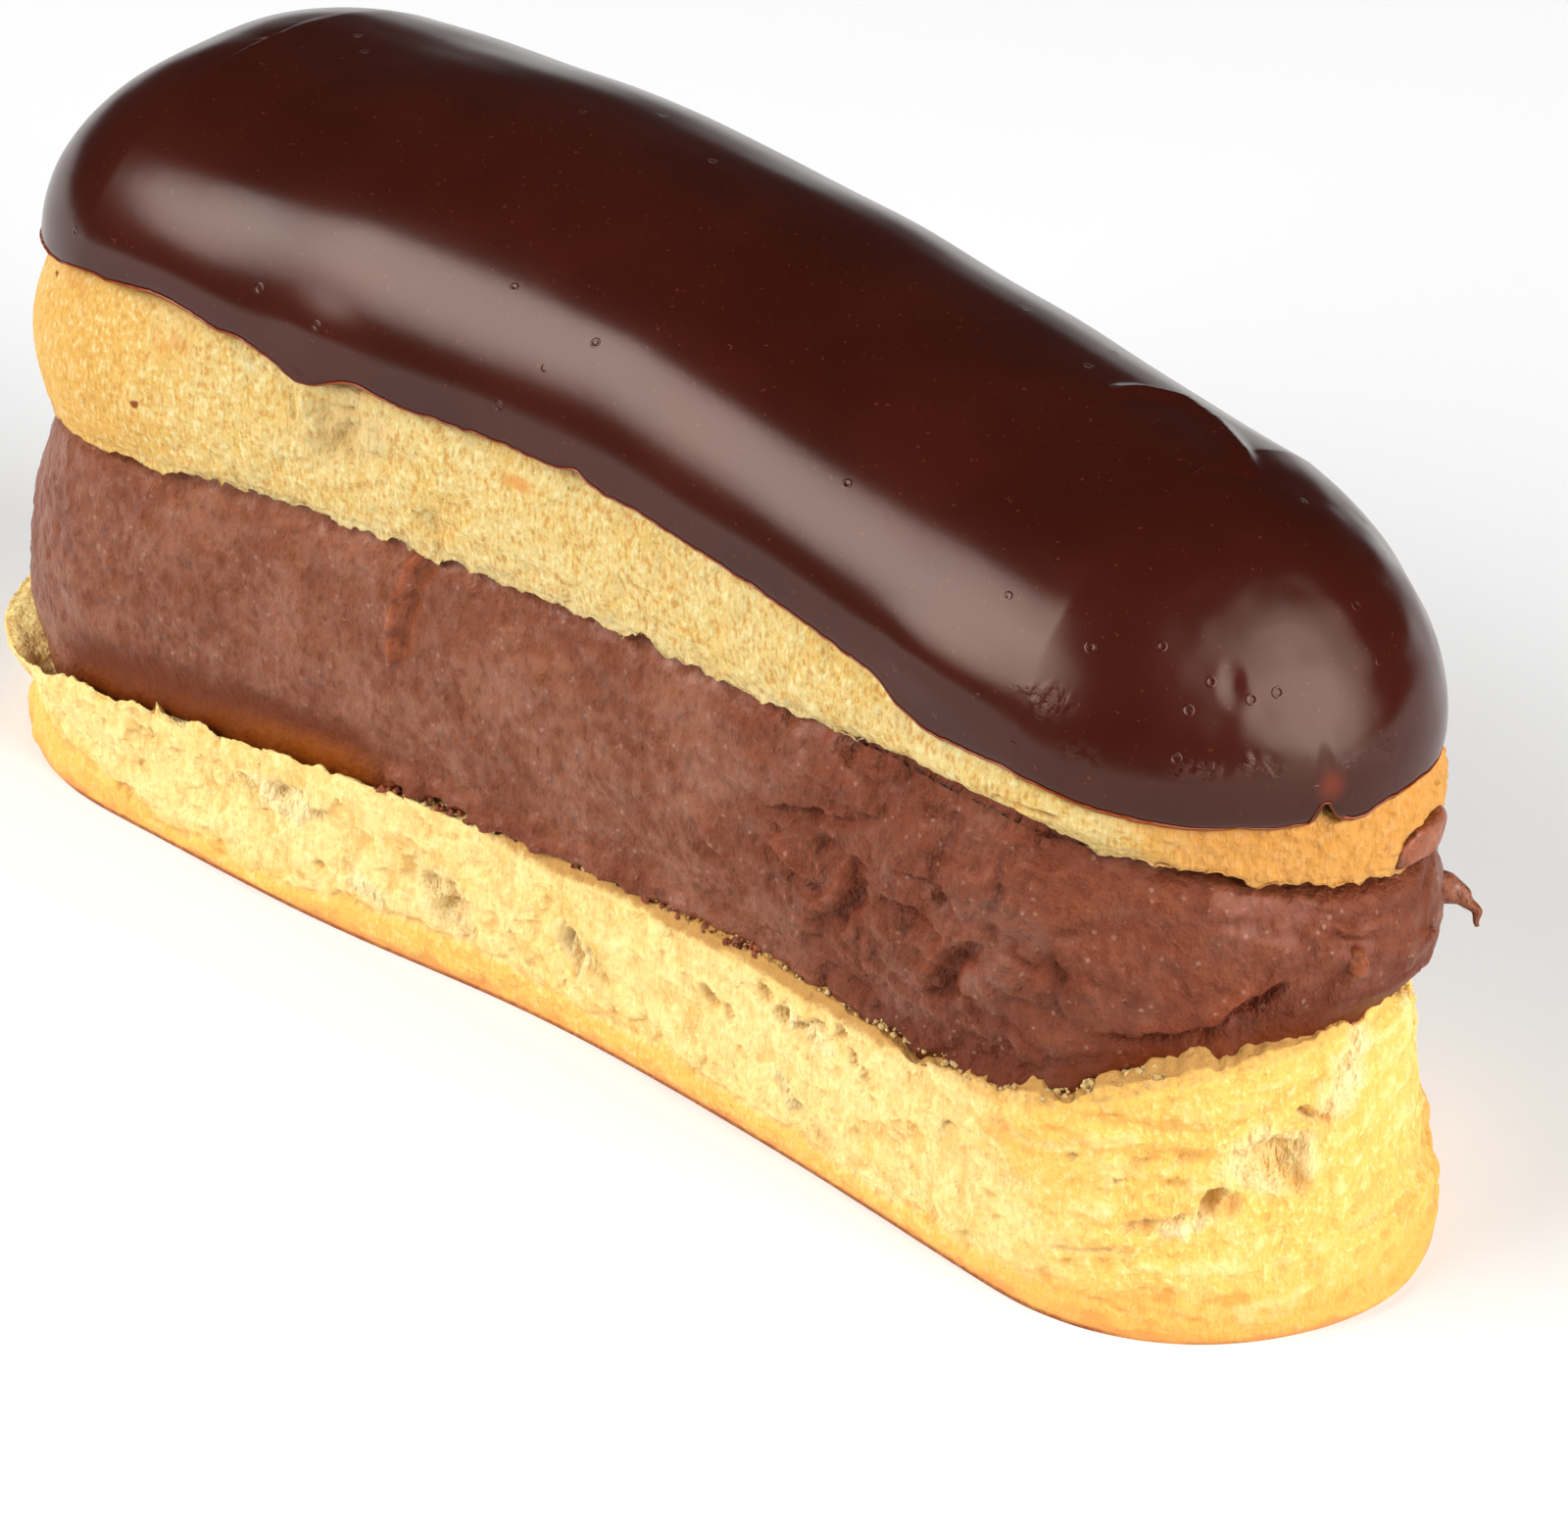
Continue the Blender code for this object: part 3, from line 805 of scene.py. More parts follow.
# %% Where the cream has wetted the crumb
wet_run = ease(0.225, 0.245, base.turn) * fall(0.47, 0.50, base.turn)
wet_shelf = ease(RIM_ROW - 1, RIM_ROW + 4, row)
base.masks["wet_and_shade"] = wet_run * (wet_shelf * 0.75 + near_rim * above_foot * 0.55)
soaked = ease(-2.4, -0.2, above_rim_line + base.shake[0] * 0.6) * between_turns(base.turn, 0.24, 0.35)
base.masks["wet_and_shade"] += 0.45 * soaked * above_foot
base.masks["stain"] = ease(RIM_ROW + 4, RIM_ROW + 7, row) * between_turns(base.turn, 0.09, 0.52)
torn_choux = choux_finish("torn_choux", warmth=-0.02, contrast=0.38, brightness=0.94)
dressed(base.piece("bun_bottom"), torn_choux, "choux_base")

# %% [markdown]
# ## The chocolate cream
#
# Piped cream keeps the shape of the hand that spread it. Its side is a tall soft wall with a fine leathery
# skin, dotted with painted glints. A knife left one crease in it, the low left part was squeezed smooth
# and shows oilier, drawn darker as oil and painted shade with a painted warm glow at its foot, and the
# right half is folded and lumpy, with a lip that curls over near the end, where the cream hangs out over
# the rim. Lips and raised folds get painted light, troughs and grooves painted shade. A thin smear of it
# dried along the rim of the bun.

# %% Rows of the cream
CREAM_ROWS = 78
cut = read(cut_height, TURNS)
cream_foot = rim - 1.6 * MM
cream_head = cut + 0.9 * MM
cream_rows = [((rim_reach - 6 * MM) * share, rim - 2.5 * MM) for share in (0.0, 0.5, 1.0)]
FOOT_ROW = len(cream_rows)
for share in np.linspace(0, 1, CREAM_ROWS):
    height = cream_foot + (cream_head - cream_foot) * share
    reach = cream_wall.reach(TURNS, np.clip(height, rim + 0.6 * MM, cut - 0.4 * MM))
    cream_rows.append((reach, height))
for share in (0.95, 0.8, 0.4, 0.0):
    cream_rows.append((reach * share, cream_head + 0.2 * MM))
cream = Skin(cream_rows)
cream.soften(first=4, last=26, times=50)
print(f"{len(cream_rows)} rows")

# %% Leather and folds
row = cream.row
on_side = (row > FOOT_ROW) & (row < FOOT_ROW + CREAM_ROWS)
share_up = np.clip((cream.rest[..., 2] - cream_foot) / (cream_head - cream_foot), 0, 1)
above_rim = (cream.rest[..., 2] - rim) / MM
folded = ease(0.285, 0.33, cream.turn) * fall(0.56, 0.66, cream.turn)
leather = rough(cream.rest, 0.9, 3, 31) * 0.10 + rough(cream.rest, 6, 2, 32) * 0.20
leather += rough(cream.rest, 2.6, 2, 35) * 0.12
rolls = np.abs(rough(cream.rest * (1, 1, 1.4), 5.5, 2, 33))
wrinkles = np.abs(rough(cream.rest * (0.8, 0.8, 1.2), 2.0, 2, 34))
torn_zone = between_turns(cream.turn, 0.305, 0.395, 0.02)
folds = (ease(0.0, 0.4, rolls) - 0.5) * 0.5 * folded + (ease(0.0, 0.3, wrinkles) - 0.5) * 0.32 * torn_zone
print(f"folds of {folds.min():.1f} to {folds.max():.1f} mm")

# %% Crease, squeezed part and smear
CREASE = ((0.2185, 37.4), (0.216, 35.0), (0.2135, 32.0), (0.2125, 29.0), (0.2138, 26.6))
crease, along_crease, beside_crease = cream.stroke(CREASE, 0.6, torn=0.12)
crease *= fall(0.8, 1.0, along_crease)
crease_lip = hump(beside_crease + 1.1, 0.55) * (along_crease < 0.95)

squeezed = ease(0.095, 0.125, cream.turn) * fall(0.178, 0.208, cream.turn)
squeezed *= fall(0.8, 5.4, above_rim + cream.shake[0] * 0.3)

SMEAR = ((0.204, 15.7), (0.22, 16.4), (0.2353, 16.8), (0.2617, 17.3), (0.2874, 17.6), (0.306, 17.6))
smear, along_smear, _ = cream.stroke(SMEAR, 0.95, torn=0.5)
smear *= ease(0, 0.06, along_smear) * fall(0.6, 1.0, along_smear)
print(f"{squeezed.mean():.0%} of the cream is squeezed smooth")

# %% Fold lines
FOLD_LINES = (  # route of (turn, height), width and depth in mm: a groove with a lip above it
    (((0.306, 29.6), (0.318, 31.0), (0.33, 32.2), (0.342, 34.4)), 0.45, 0.6),
    (((0.326, 22.0), (0.334, 25.0), (0.339, 28.0), (0.337, 30.6)), 0.8, 0.9),
    (((0.356, 22.0), (0.362, 24.6), (0.366, 27.6), (0.374, 29.6)), 0.8, 1.0),
    (((0.404, 24.6), (0.418, 24.8), (0.433, 25.6), (0.448, 27.6), (0.46, 29.4)), 0.65, 1.5),
    (((0.342, 28.0), (0.352, 28.8), (0.364, 28.0)), 0.5, 0.8),
    (((0.308, 27.0), (0.318, 26.4), (0.326, 24.0)), 0.6, 0.6),
    (((0.346, 31.0), (0.356, 31.6), (0.364, 30.6)), 0.45, 0.6),
    (((0.386, 31.0), (0.396, 29.0), (0.4, 26.6)), 0.7, 0.5),
    (((0.288, 26.0), (0.296, 23.6), (0.308, 22.0)), 0.9, 0.5),
    (((0.468, 32.6), (0.48, 31.0), (0.49, 31.0)), 0.6, 0.4),
)
grooves, lips = np.zeros((2, *cream.walk.shape))
for route, width, depth in FOLD_LINES:
    line, share, side = cream.stroke(route, width, torn=0.4)
    fade = 1 - np.abs(share * 2 - 1) ** 3
    grooves = np.maximum(grooves, line * fade * depth)
    lips = np.maximum(lips, hump(side - 1.5 * width, width) * fade * depth * 0.7)
print(f"{len(FOLD_LINES)} fold lines")

# %% Lumps, overhang and foot, and the push
LUMPS = (  # turn, height, width, tallness, how far it stands out, all in mm but the turn
    (0.4795, 29.8, 2.6, 2.6, 0.4), (0.5075, 29.0, 1.6, 1.4, 0.6), (0.442, 23.4, 1.4, 1.4, 0.5),
    (0.315, 28.6, 1.4, 1.0, -0.6), (0.396, 30.8, 6.0, 6.0, 0.5), (0.37, 33.0, 7.0, 4.0, 0.5),
    (0.348, 25.0, 4.0, 5.0, 0.5), (0.386, 24.8, 5.0, 5.0, -0.5), (0.456, 32.2, 6.5, 4.0, 0.4),
    (0.428, 27.6, 7.0, 3.0, 0.5), (0.318, 26.8, 3.0, 2.0, 0.3), (0.356, 26.4, 3.0, 2.4, 0.35),
    (0.2995, 25.0, 1.0, 0.8, -0.5), (0.27, 28.0, 12.0, 8.0, 0.3), (0.502, 36.6, 7.0, 4.4, 1.5),
)
lumps = sum(cream.spot(*place, soft=0.9) * out for *place, out in LUMPS)
tucked = ease(0.25, 0.33, cream.turn) * fall(0.60, 0.70, cream.turn)
overhang = hump(1 - share_up, 0.09) * (0.25 + 0.8 * tucked)
reaching = 0.7 * between_turns(cream.turn, 0.23, 0.42) + 1.1 * between_turns(cream.turn, 0.425, 0.475)
foot = fall(0.3, 2.6, above_rim) * reaching
foot += fall(-0.5, 4.5, above_rim) * 0.9 * between_turns(cream.turn, 0.09, 0.21)
calm = 1 - 0.55 * ease(0.39, 0.42, cream.turn)
marks = leather * (1 - 0.8 * squeezed) + folds * calm + lips + lumps + crease_lip * 0.6
marks += smear * (1.2 + 0.6 * rough(cream.rest, 1.6, 2, 36) + 0.25 * rough(cream.rest, 0.8, 2, 37)) + foot
marks -= crease * 0.6 + squeezed * 0.35 + grooves * 1.2 + overhang
cream.push(marks * on_side)
print(f"{len(LUMPS)} lumps, pushed {marks.min():.1f} to {marks.max():.1f} mm")

# %% Masks of the cream
# The squeezed part and the near end's low roll are drawn darker: oilier, and painted shade
oily_and_shade = between_turns(cream.turn, 0.108, 0.205) * fall(2.2, 7.6, above_rim + cream.shake[0] * 0.5)
rolled = between_turns(cream.turn, 0.385, 0.5, 0.03) * fall(0.6, 4.0, above_rim + cream.shake[0] * 0.6)
cream.masks["oily_and_shade"] = np.maximum(oily_and_shade, rolled * 0.75)
# A painted warm glow along the squeezed part's foot
cream.masks["glow"] = oily_and_shade * fall(1.0, 4.2, above_rim) * (0.35 + 0.5 * ease(0.14, 0.19, cream.turn))
# Reddish crease and smear, and painted light on the crease's lip, the fold lines' lips and the raised folds
warm = crease * 0.55 + crease_lip * 0.9 + grooves * 0.2 + lips * 0.8
cream.masks["warm"] = warm + np.clip(folds, 0, 1) * 0.9 + smear * 0.3
# Darker: the smear, the cream low at the near end and the folded part, and painted shade in troughs and
# grooves
low_dark = fall(0.4, 5.6, above_rim + cream.shake[0]) * between_turns(cream.turn, 0.35, 0.5, 0.03)
low_dark += folded * 0.58
cream.masks["dark"] = smear * 0.5 + low_dark + np.clip(-folds, 0, 1) * 0.8 + grooves * 0.4

# %% The cream's finish
CREAM, CREAM_PALE, CREAM_DARK = colour(113, 60, 37), colour(134, 78, 51), colour(82, 36, 20)
OIL_AND_SHADE, GLOW, WARM, SMEAR_AND_SHADE = colour(96, 40, 12), colour(132, 66, 18), colour(148, 72, 36), colour(90, 38, 25)
GLINT = colour(168, 124, 102)


def cream_finish(name):
    made, shader, flow = start_finish(name)
    place = place_of(flow)
    cloud = speckle(flow, place, 7, detail=3)
    patch = speckle(flow, place, 1.5, detail=3, roughness=0.6)
    slanted = stretched(flow, place, (1, 1, 0.7), turned=(0.5, 0.6, 0))
    wrinkle = speckle(flow, slanted, 0.7, detail=3, roughness=0.6)
    cells = flow.node("ShaderNodeTexVoronoi", None, {"Vector": place, "Scale": 1 / (1.0 * MM)})
    dots = cells.between(0.26, 0.12)
    oily_and_shade, dark, warm = mask(flow, "oily_and_shade"), mask(flow, "dark"), mask(flow, "warm")
    body = (cloud * 0.6 + patch * 0.4).between(0.36, 0.64).mixed(CREAM, CREAM_PALE)
    body = (wrinkle.between(0.5, 0.36) * 0.4).mixed(body, CREAM_DARK)
    # Reddish crease and smear, and painted light on lips and raised folds
    body = (warm * patch.between(0.35, 0.6)).mixed(body, WARM)
    # The smear, and painted shade in troughs and grooves
    body = (dark * 0.8).mixed(body, SMEAR_AND_SHADE)
    # Oily cream and painted shade
    body = oily_and_shade.between(0.05, 0.95).mixed(body, OIL_AND_SHADE)
    # A painted warm glow
    body = (mask(flow, "glow") + (patch - 0.5) * 0.4).between(0.1, 1.0).mixed(body, GLOW)
    # Painted glints: small pale dots on the cream
    body = (dots * patch.between(0.45, 0.6) * (1 - oily_and_shade) * 0.5).mixed(body, GLINT)
    relief = (wrinkle * 0.9 + patch * 0.5 + dots * 0.1) * (1 - oily_and_shade * 0.6)
    sheen = (1 - flow.maths("MAXIMUM", oily_and_shade, dark)) * (0.1 + patch.between(0.4, 0.64) * 0.42)
    settle(flow, shader, {
        "Base Color": body,
        "Roughness": 0.36 + patch * 0.14 - warm * 0.06,
        "Normal": bumped(flow, relief, 0.6),
        "Coat Weight": sheen + cloud.between(0.5, 0.64) * (1 - oily_and_shade) * 0.3,
        "Coat Roughness": 0.38,
        "Specular IOR Level": 0.15,
        "Specular Tint": (1.0, 0.74, 0.6, 1),
        "Subsurface Weight": 0.1,
        "Subsurface Radius": (1.0, 0.35, 0.2),
        "Subsurface Scale": 1.0 * MM,
    })
    return made


cream_coat = cream_finish("piped_cream")
dressed(cream.piece("cream_layer"), cream_coat, "chocolate_cream")

# %% [markdown]
# ## The upper half of the bun
#
# Only a band of it shows, between the cream and the icing. Its far end kept a smooth golden crust, the rest
# was sawn through and shows fine sponge. The cut edge is crumbly, one flake hangs loose, and a soft dent
# was pressed into the band near the far end.

# %% Rows of the upper half
CAP_ROWS = 58
CUT_NICKS = (  # turn, half width and drop in mm
    (0.144, 1.4, 0.5), (0.162, 2.0, -0.3), (0.276, 0.9, -0.7), (0.268, 0.7, 0.3), (0.37, 0.8, 0.7),
    (0.379, 1.6, 0.4), (0.4262, 0.5, 0.3), (0.235, 0.6, 0.3), (0.456, 2.0, 0.2),
)
ice = read(icing_edge, TURNS)
smooth_end = np.clip(fall(0.10, 0.16, TURNS) + ease(0.90, 0.97, TURNS), 0, 1)
teeth = ragged(3.2, 41) * 0.20 + ragged(1.1, 42) * 0.26 + ragged(0.6, 43) * 0.22
teeth *= 1 - 0.75 * smooth_end
cut_edge = cut + (teeth - sum(drop * beside(TURNS, turn, half) for turn, half, drop in CUT_NICKS)) * MM
cap_top = ice + 1.2 * MM
cut_reach = cap_wall.reach(TURNS, cut + 0.8 * MM)
cap_rows = [((cut_reach - 3 * MM) * share, cut + 0.5 * MM) for share in (0.0, 0.5, 0.85, 1.0)]
INNER_ROW = len(cap_rows)
for inwards, lift in ((1.8, 0.35), (1.1, 0.2), (0.5, 0.08)):
    cap_rows.append((cut_reach - inwards * MM, cut_edge + lift * MM))
CUT_ROW = len(cap_rows)
for share in np.linspace(0, 1, CAP_ROWS):
    height = cut_edge + (cap_top - cut_edge) * share
    cap_rows.append((cap_wall.reach(TURNS, np.clip(height, cut + 0.8 * MM, ice - 0.6 * MM)), height))
cap_shoulder = cap_rows[-1][0] - 2.2 * MM
for share in (1.0, 0.6, 0.3, 0.0):
    cap_rows.append((cap_shoulder * share, cap_top + (1 - share) * 6 * MM))
cap = Skin(cap_rows)
cap.soften(first=CUT_ROW + 4, last=CUT_ROW + CAP_ROWS + 1, times=90)
print(f"{len(cap_rows)} rows")

# %% Sponge and dents
row = cap.row
on_band = (row > INNER_ROW) & (row < CUT_ROW + CAP_ROWS)
band = np.clip((cap.rest[..., 2] - cut) / (ice - cut), 0, 1)
smooth_far = np.clip(fall(0.115, 0.18, cap.turn) + ease(0.88, 0.96, cap.turn), 0, 1)
scales, _ = plates(cap.rest, 2.4, 55)
sponge = rough(cap.rest, 5, 2, 51) * 0.20 + rough(cap.rest, 1.2, 3, 52) * 0.14 + scales * 0.12
DENTS = (  # turn, height, width, tallness and depth in mm, lean
    (0.196, 44.6, 5.6, 7.0, 0.9, 0.4), (0.191, 46.6, 2.4, 4.0, 0.6, 0.3), (0.2, 42.6, 6.0, 3.0, 0.6, 0.0),
    (0.22, 39.8, 3.4, 2.4, 0.5, 0.0), (0.1834, 45.6, 1.2, 4.0, 0.4, 0.4),
    (0.216, 46.0, 8.0, 4.0, -0.25, 0.0),
)
dents = sum(cap.spot(*place, 0.9, lean, torn=0.6) * depth for *place, depth, lean in DENTS)
print(f"{len(DENTS)} dents, up to {dents.max():.1f} mm deep")

# %% Slit and creases, and the push
SLIT = ((0.37, 41.2), (0.376, 41.2), (0.383, 41.3), (0.3885, 41.0))
gap, along_gap, _ = cap.stroke(SLIT, 0.3)
gap *= ease(0, 0.1, along_gap)
tuck = hump(band, 0.08) * 0.2
under_icing = ease(0.95, 1.0, band) * 0.1
creased = cap.spot(0.196, 44.6, 11.0, 10.0, soft=0.8, lean=0.3, torn=1.2)
pleats = np.abs(rough(cap.rest, 2.4, 3, 57))
dents += creased * (0.4 - ease(0.0, 0.3, pleats) * 0.45)
ends = ease(0.38, 0.44, cap.turn) * fall(0.58, 0.76, cap.turn + 0.02 * cap.shake[0])
sponge += ends * (rough(cap.rest, 0.9, 2, 58) * 0.16 + rough(cap.rest, 0.5, 1, 59) * 0.08)
cap.push((sponge * (1 - 0.75 * smooth_far) - dents - gap * 0.9 - tuck - under_icing) * on_band)
print(f"{creased.mean():.1%} of the upper half is creased")

# %% Masks of the upper half
# The band's relief, for painted light on raised sponge and painted shade on sunken sponge
cap.masks["raised"] = 0.5 + (sponge * 0.9 - creased * (0.3 - ease(0.0, 0.3, pleats) * 0.5)) * on_band
cap.masks["torn"] = creased * 0.45 + hump(band, 0.12) * (1 - smooth_far) * 0.4
# Painted shade in the dents, the slit and along the cut edge
cap.masks["hollow"] = dents * 0.45 + gap + hump(band, 0.03) * 0.3
cap.masks["gold"] = smooth_far * 0.7 + ends * 0.4 + 0.2
TOASTS = (  # turn, height, width, tallness in mm, how torn and how strong
    (0.2429, 46.6, 4.4, 1.8, 0.3, 1.0), (0.15, 46.5, 9, 3, 1.0, 0.7), (0.115, 47.0, 10, 2.5, 1.0, 0.7),
    (0.13, 43.0, 5, 2.0, 0.3, 0.4), (0.4757, 42.0, 3.4, 5.0, 0.8, 1.0),
)
toasts = [cap.spot(*place, soft=0.9, torn=shaken) * strength for *place, shaken, strength in TOASTS]
# The toasted ends, and painted shade along the top of the band under the icing's lip
toasts += [ends * 0.86 + ends * ease(0.7, 1.0, band) * 0.3, smooth_far * 0.4, ease(0.86, 1.0, band) * 0.6]
cap.masks["amber"] = np.maximum.reduce(toasts)
cap.masks["burnt"] = np.maximum(cap.spot(0.1411, 40.3, 1.2, 0.9), cap.spot(0.101, 46.4, 1.0, 0.8))
smeared = cap.spot(0.505, 36.2, 9.0, 4.4, soft=0.6, torn=1.0)
cap.masks["stain"] = smeared * 0.5 + cap.spot(0.472, 44.2, 1.6, 1.6, soft=0.9) * 0.7
# Painted shade in the crease and along the cut edge, in the colour of wetted crumb
cap.masks["wet_and_shade"] = creased * 0.42 + hump(band, 0.03) * (1 - smooth_far) * 0.25
cap.masks["brown"] = smooth_far * ease(0.7, 1.0, band) * 0.3
sawn_choux = choux_finish("sawn_choux", warmth=0.05, contrast=0.9, brightness=0.705)
dressed(cap.piece("bun_top"), sawn_choux, "choux_cap")

# %% [markdown]
# ## The icing
#
# Chocolate icing is poured warm, so it flows smooth, hangs in slow waves and stops in a thin rounded lip
# where it set. The skin follows the measured dome. A few runs pull its edge down, one fold of half-set
# icing stayed up near the near end, and the runs there trapped air that left rough patches.

# %% Rows of the icing
ICING_ROWS = 72
RUNS = (  # turn, half width and drop of the edge in mm
    (0.1887, 3.0, 0.9), (0.201, 3.5, -0.5), (0.1461, 3.0, -0.4), (0.11, 4.0, 0.2), (0.1713, 2.5, -0.2),
    (0.229, 5.0, 0.1), (0.26, 1.2, -0.5), (0.268, 3.0, 0.2), (0.3, 4.0, 0.1), (0.34, 2.0, -0.4),
    (0.353, 5.0, 1.0), (0.385, 3.0, -0.2), (0.43, 4.0, 0.2), (0.456, 2.0, 0.3), (0.469, 0.6, -1.5),
    (0.48, 1.8, 0.5),
)
drop = sum(fall * beside(TURNS, turn, half) for turn, half, fall in RUNS)
edge = ice - (drop - ragged(2.0, 61) * 0.09 - ragged(0.7, 62) * 0.04) * MM
edge_reach = icing_wall.reach(TURNS, np.maximum(edge, ice + 0.8 * MM))
first_lean = np.arctan2(edge - FAN_FOOT, edge_reach)


def on_dome(lean):
    """Reach and height of the dome at a lean for each column."""
    out = in_rows(read(dome, TURNS), lean / FAN[1])
    return out * np.cos(lean), FAN_FOOT + out * np.sin(lean)


inner_rows = []
for share in (1.0, 0.75, 0.5, 0.25, 0.08):
    reach, height = on_dome(first_lean + (np.pi / 2 - first_lean) * share)
    inner_rows.append((np.maximum(reach - 1.6 * MM, 0), height - 1.9 * MM * share - 0.2 * MM))
lip_rows = [(edge_reach - 1.6 * MM, edge + 0.5 * MM), (edge_reach - 1.2 * MM, edge + 0.15 * MM)]
outer_rows = []
for share in np.linspace(0, 1, ICING_ROWS) ** 1.25:
    outer_rows.append(on_dome(first_lean + (np.pi / 2 - first_lean) * share))
icing = Skin(inner_rows + lip_rows + outer_rows)
print(f"{len(icing.points)} rows")

# %% The rounded edge and the fold
row = icing.row
outside = row >= len(inner_rows) + len(lip_rows)
above_edge = np.where(outside, (icing.rest[..., 2] - edge) / MM, 0)
LIP = 1.1  # mm over which the edge rounds off
roundness = 1 - np.sqrt(1 - (1 - np.clip(above_edge / LIP, 0, 1)) ** 2)


def ridge(places, width):
    """A raised line over the dome through (x, y) places in mm, seen from above."""
    plan = icing.rest[..., :2] / MM
    nearest = np.full(plan.shape[:2], 99.0)
    share = np.zeros(plan.shape[:2])
    for number, (start, stop) in enumerate(zip(places, places[1:])):
        start, run = np.array(start), np.array(stop) - start
        part = np.clip((plan - start) @ run / (run @ run), 0, 1)
        gap = np.linalg.norm(plan - start - part[..., None] * run, axis=-1)
        share = np.where(gap < nearest, (number + part) / (len(places) - 1), share)
        nearest = np.minimum(nearest, gap)
    return hump(nearest, width) * (1 - np.abs(share * 2 - 1) ** 4)


FOLD = ((35.6, 2.6), (36.6, 5.0), (38.8, 7.3), (42.6, 6.0), (47.2, 3.2), (49.6, 1.2))
fold = ridge(FOLD, 0.8) * outside
print(f"the edge rounds off over {LIP} mm")

# %% Waves and scuffs, and the push
waves = rough(icing.rest, 15, 2, 71) * 0.20
near = ease(0.40, 0.45, icing.turn) * fall(0.55, 0.6, icing.turn) * ease(2, 5, above_edge)
waves += near * (rough(icing.rest, 4.0, 2, 74) * 0.10 - icing.spot(0.4409, 51.2, 2.6, 2.4, soft=0.9) * 0.12)
waves += icing.spot(0.19, 51.5, 9.0, 6.0, soft=0.9, torn=0) * 0.25
waves += icing.spot(0.353, 48.5, 14.0, 6.0, soft=0.9, torn=0) * 0.25
SCUFFS = (  # turn, height, width, tallness in mm, how torn and how strong
    (0.38, 49.6, 6.0, 1.3, 0.6, 1.0), (0.395, 46.8, 5.0, 2.0, 0.8, 0.5), (0.4295, 46.4, 5.0, 1.8, 0.8, 1.0),
    (0.448, 46.0, 5.5, 1.6, 0.8, 0.8), (0.485, 45.6, 7.0, 1.6, 0.8, 0.7),
)
scuffs = [icing.spot(*place, torn=shaken) * strength for *place, shaken, strength in SCUFFS]
scuffs = np.maximum.reduce(scuffs) * outside
bubbled = scuffs * (plates(icing.rest, 0.8, 77)[1] - 0.5) * 0.10
icing.push((waves * ease(0.5, 6.0, above_edge) - roundness * 0.62 + fold * 0.6 + bubbled) * outside)
icing.masks["edge"] = fall(0.0, 1.0, above_edge) * outside
icing.masks["scuff"] = scuffs
icing.masks["drip"] = icing.spot(0.47, 44.6, 2.4, 2.4, soft=0.9) * outside

# %% The icing's finish
CHOCOLATE, CHOCOLATE_RED, CHOCOLATE_THIN = colour(50, 15, 8), colour(58, 19, 11), colour(132, 54, 22)
DRIP, DUST = colour(112, 40, 18), colour(100, 44, 24)
CELL = 3.4  # mm between the middles of two burst bubbles


def icing_finish(name):
    made, shader, flow = start_finish(name)
    place = place_of(flow)
    cloud = speckle(flow, place, 14, detail=2)
    dust = speckle(flow, place, 0.45, detail=1)
    cells = flow.node("ShaderNodeTexVoronoi", None, {"Vector": place, "Scale": 1 / (CELL * MM)})
    cell_colour = Flow(flow.tree, cells.socket.node.outputs["Color"])
    away = cells * CELL
    picked = flow.node("ShaderNodeSeparateColor", None, {"Color": cell_colour}).between(0.42, 0.44)
    ring = away.between(0.20, 0.32) * away.between(0.46, 0.36) * picked
    dip = away.between(0.34, 0.12) * picked
    body = cloud.between(0.3, 0.7).mixed(CHOCOLATE, CHOCOLATE_RED)
    body = mask(flow, "edge").between(0.3, 0.95).mixed(body, CHOCOLATE_THIN)
    body = (mask(flow, "drip") * 0.7).mixed(body, DRIP)
    body = (dust.between(0.70, 0.78) * 0.6).mixed(body, DUST)
    scuffed = mask(flow, "scuff") * dust.between(0.35, 0.6)
    relief = ring * 0.4 - dip * 0.4 + scuffed * 0.4 + speckle(flow, place, 1.1, detail=2) * 0.12
    settle(flow, shader, {
        "Base Color": body,
        "Roughness": 0.17 + cloud * 0.05 + scuffed * 0.2,
        "Normal": bumped(flow, relief, 0.05),
        "Specular IOR Level": 0.4,
        "Specular Tint": (1.0, 0.81, 0.70, 1),
    })
    return made


dressed(icing.piece("icing_coat"), icing_finish("set_icing"), "chocolate_icing")

# %% [markdown]
# ## Small things
#
# A wisp of cream curls out behind the near end, a smear of it sticks to the cut edge and a small nodule
# stands on its side. Loose crumbs and bits of cream lie along the cream's foot. The wisp is a tapering
# tube. The smear and the nodule are dabs, lumps that follow the wall they cling to. Crumbs and bits are
# rough little balls, and those of one kind are joined into one piece, because hundreds of pieces would be
# hard to handle.

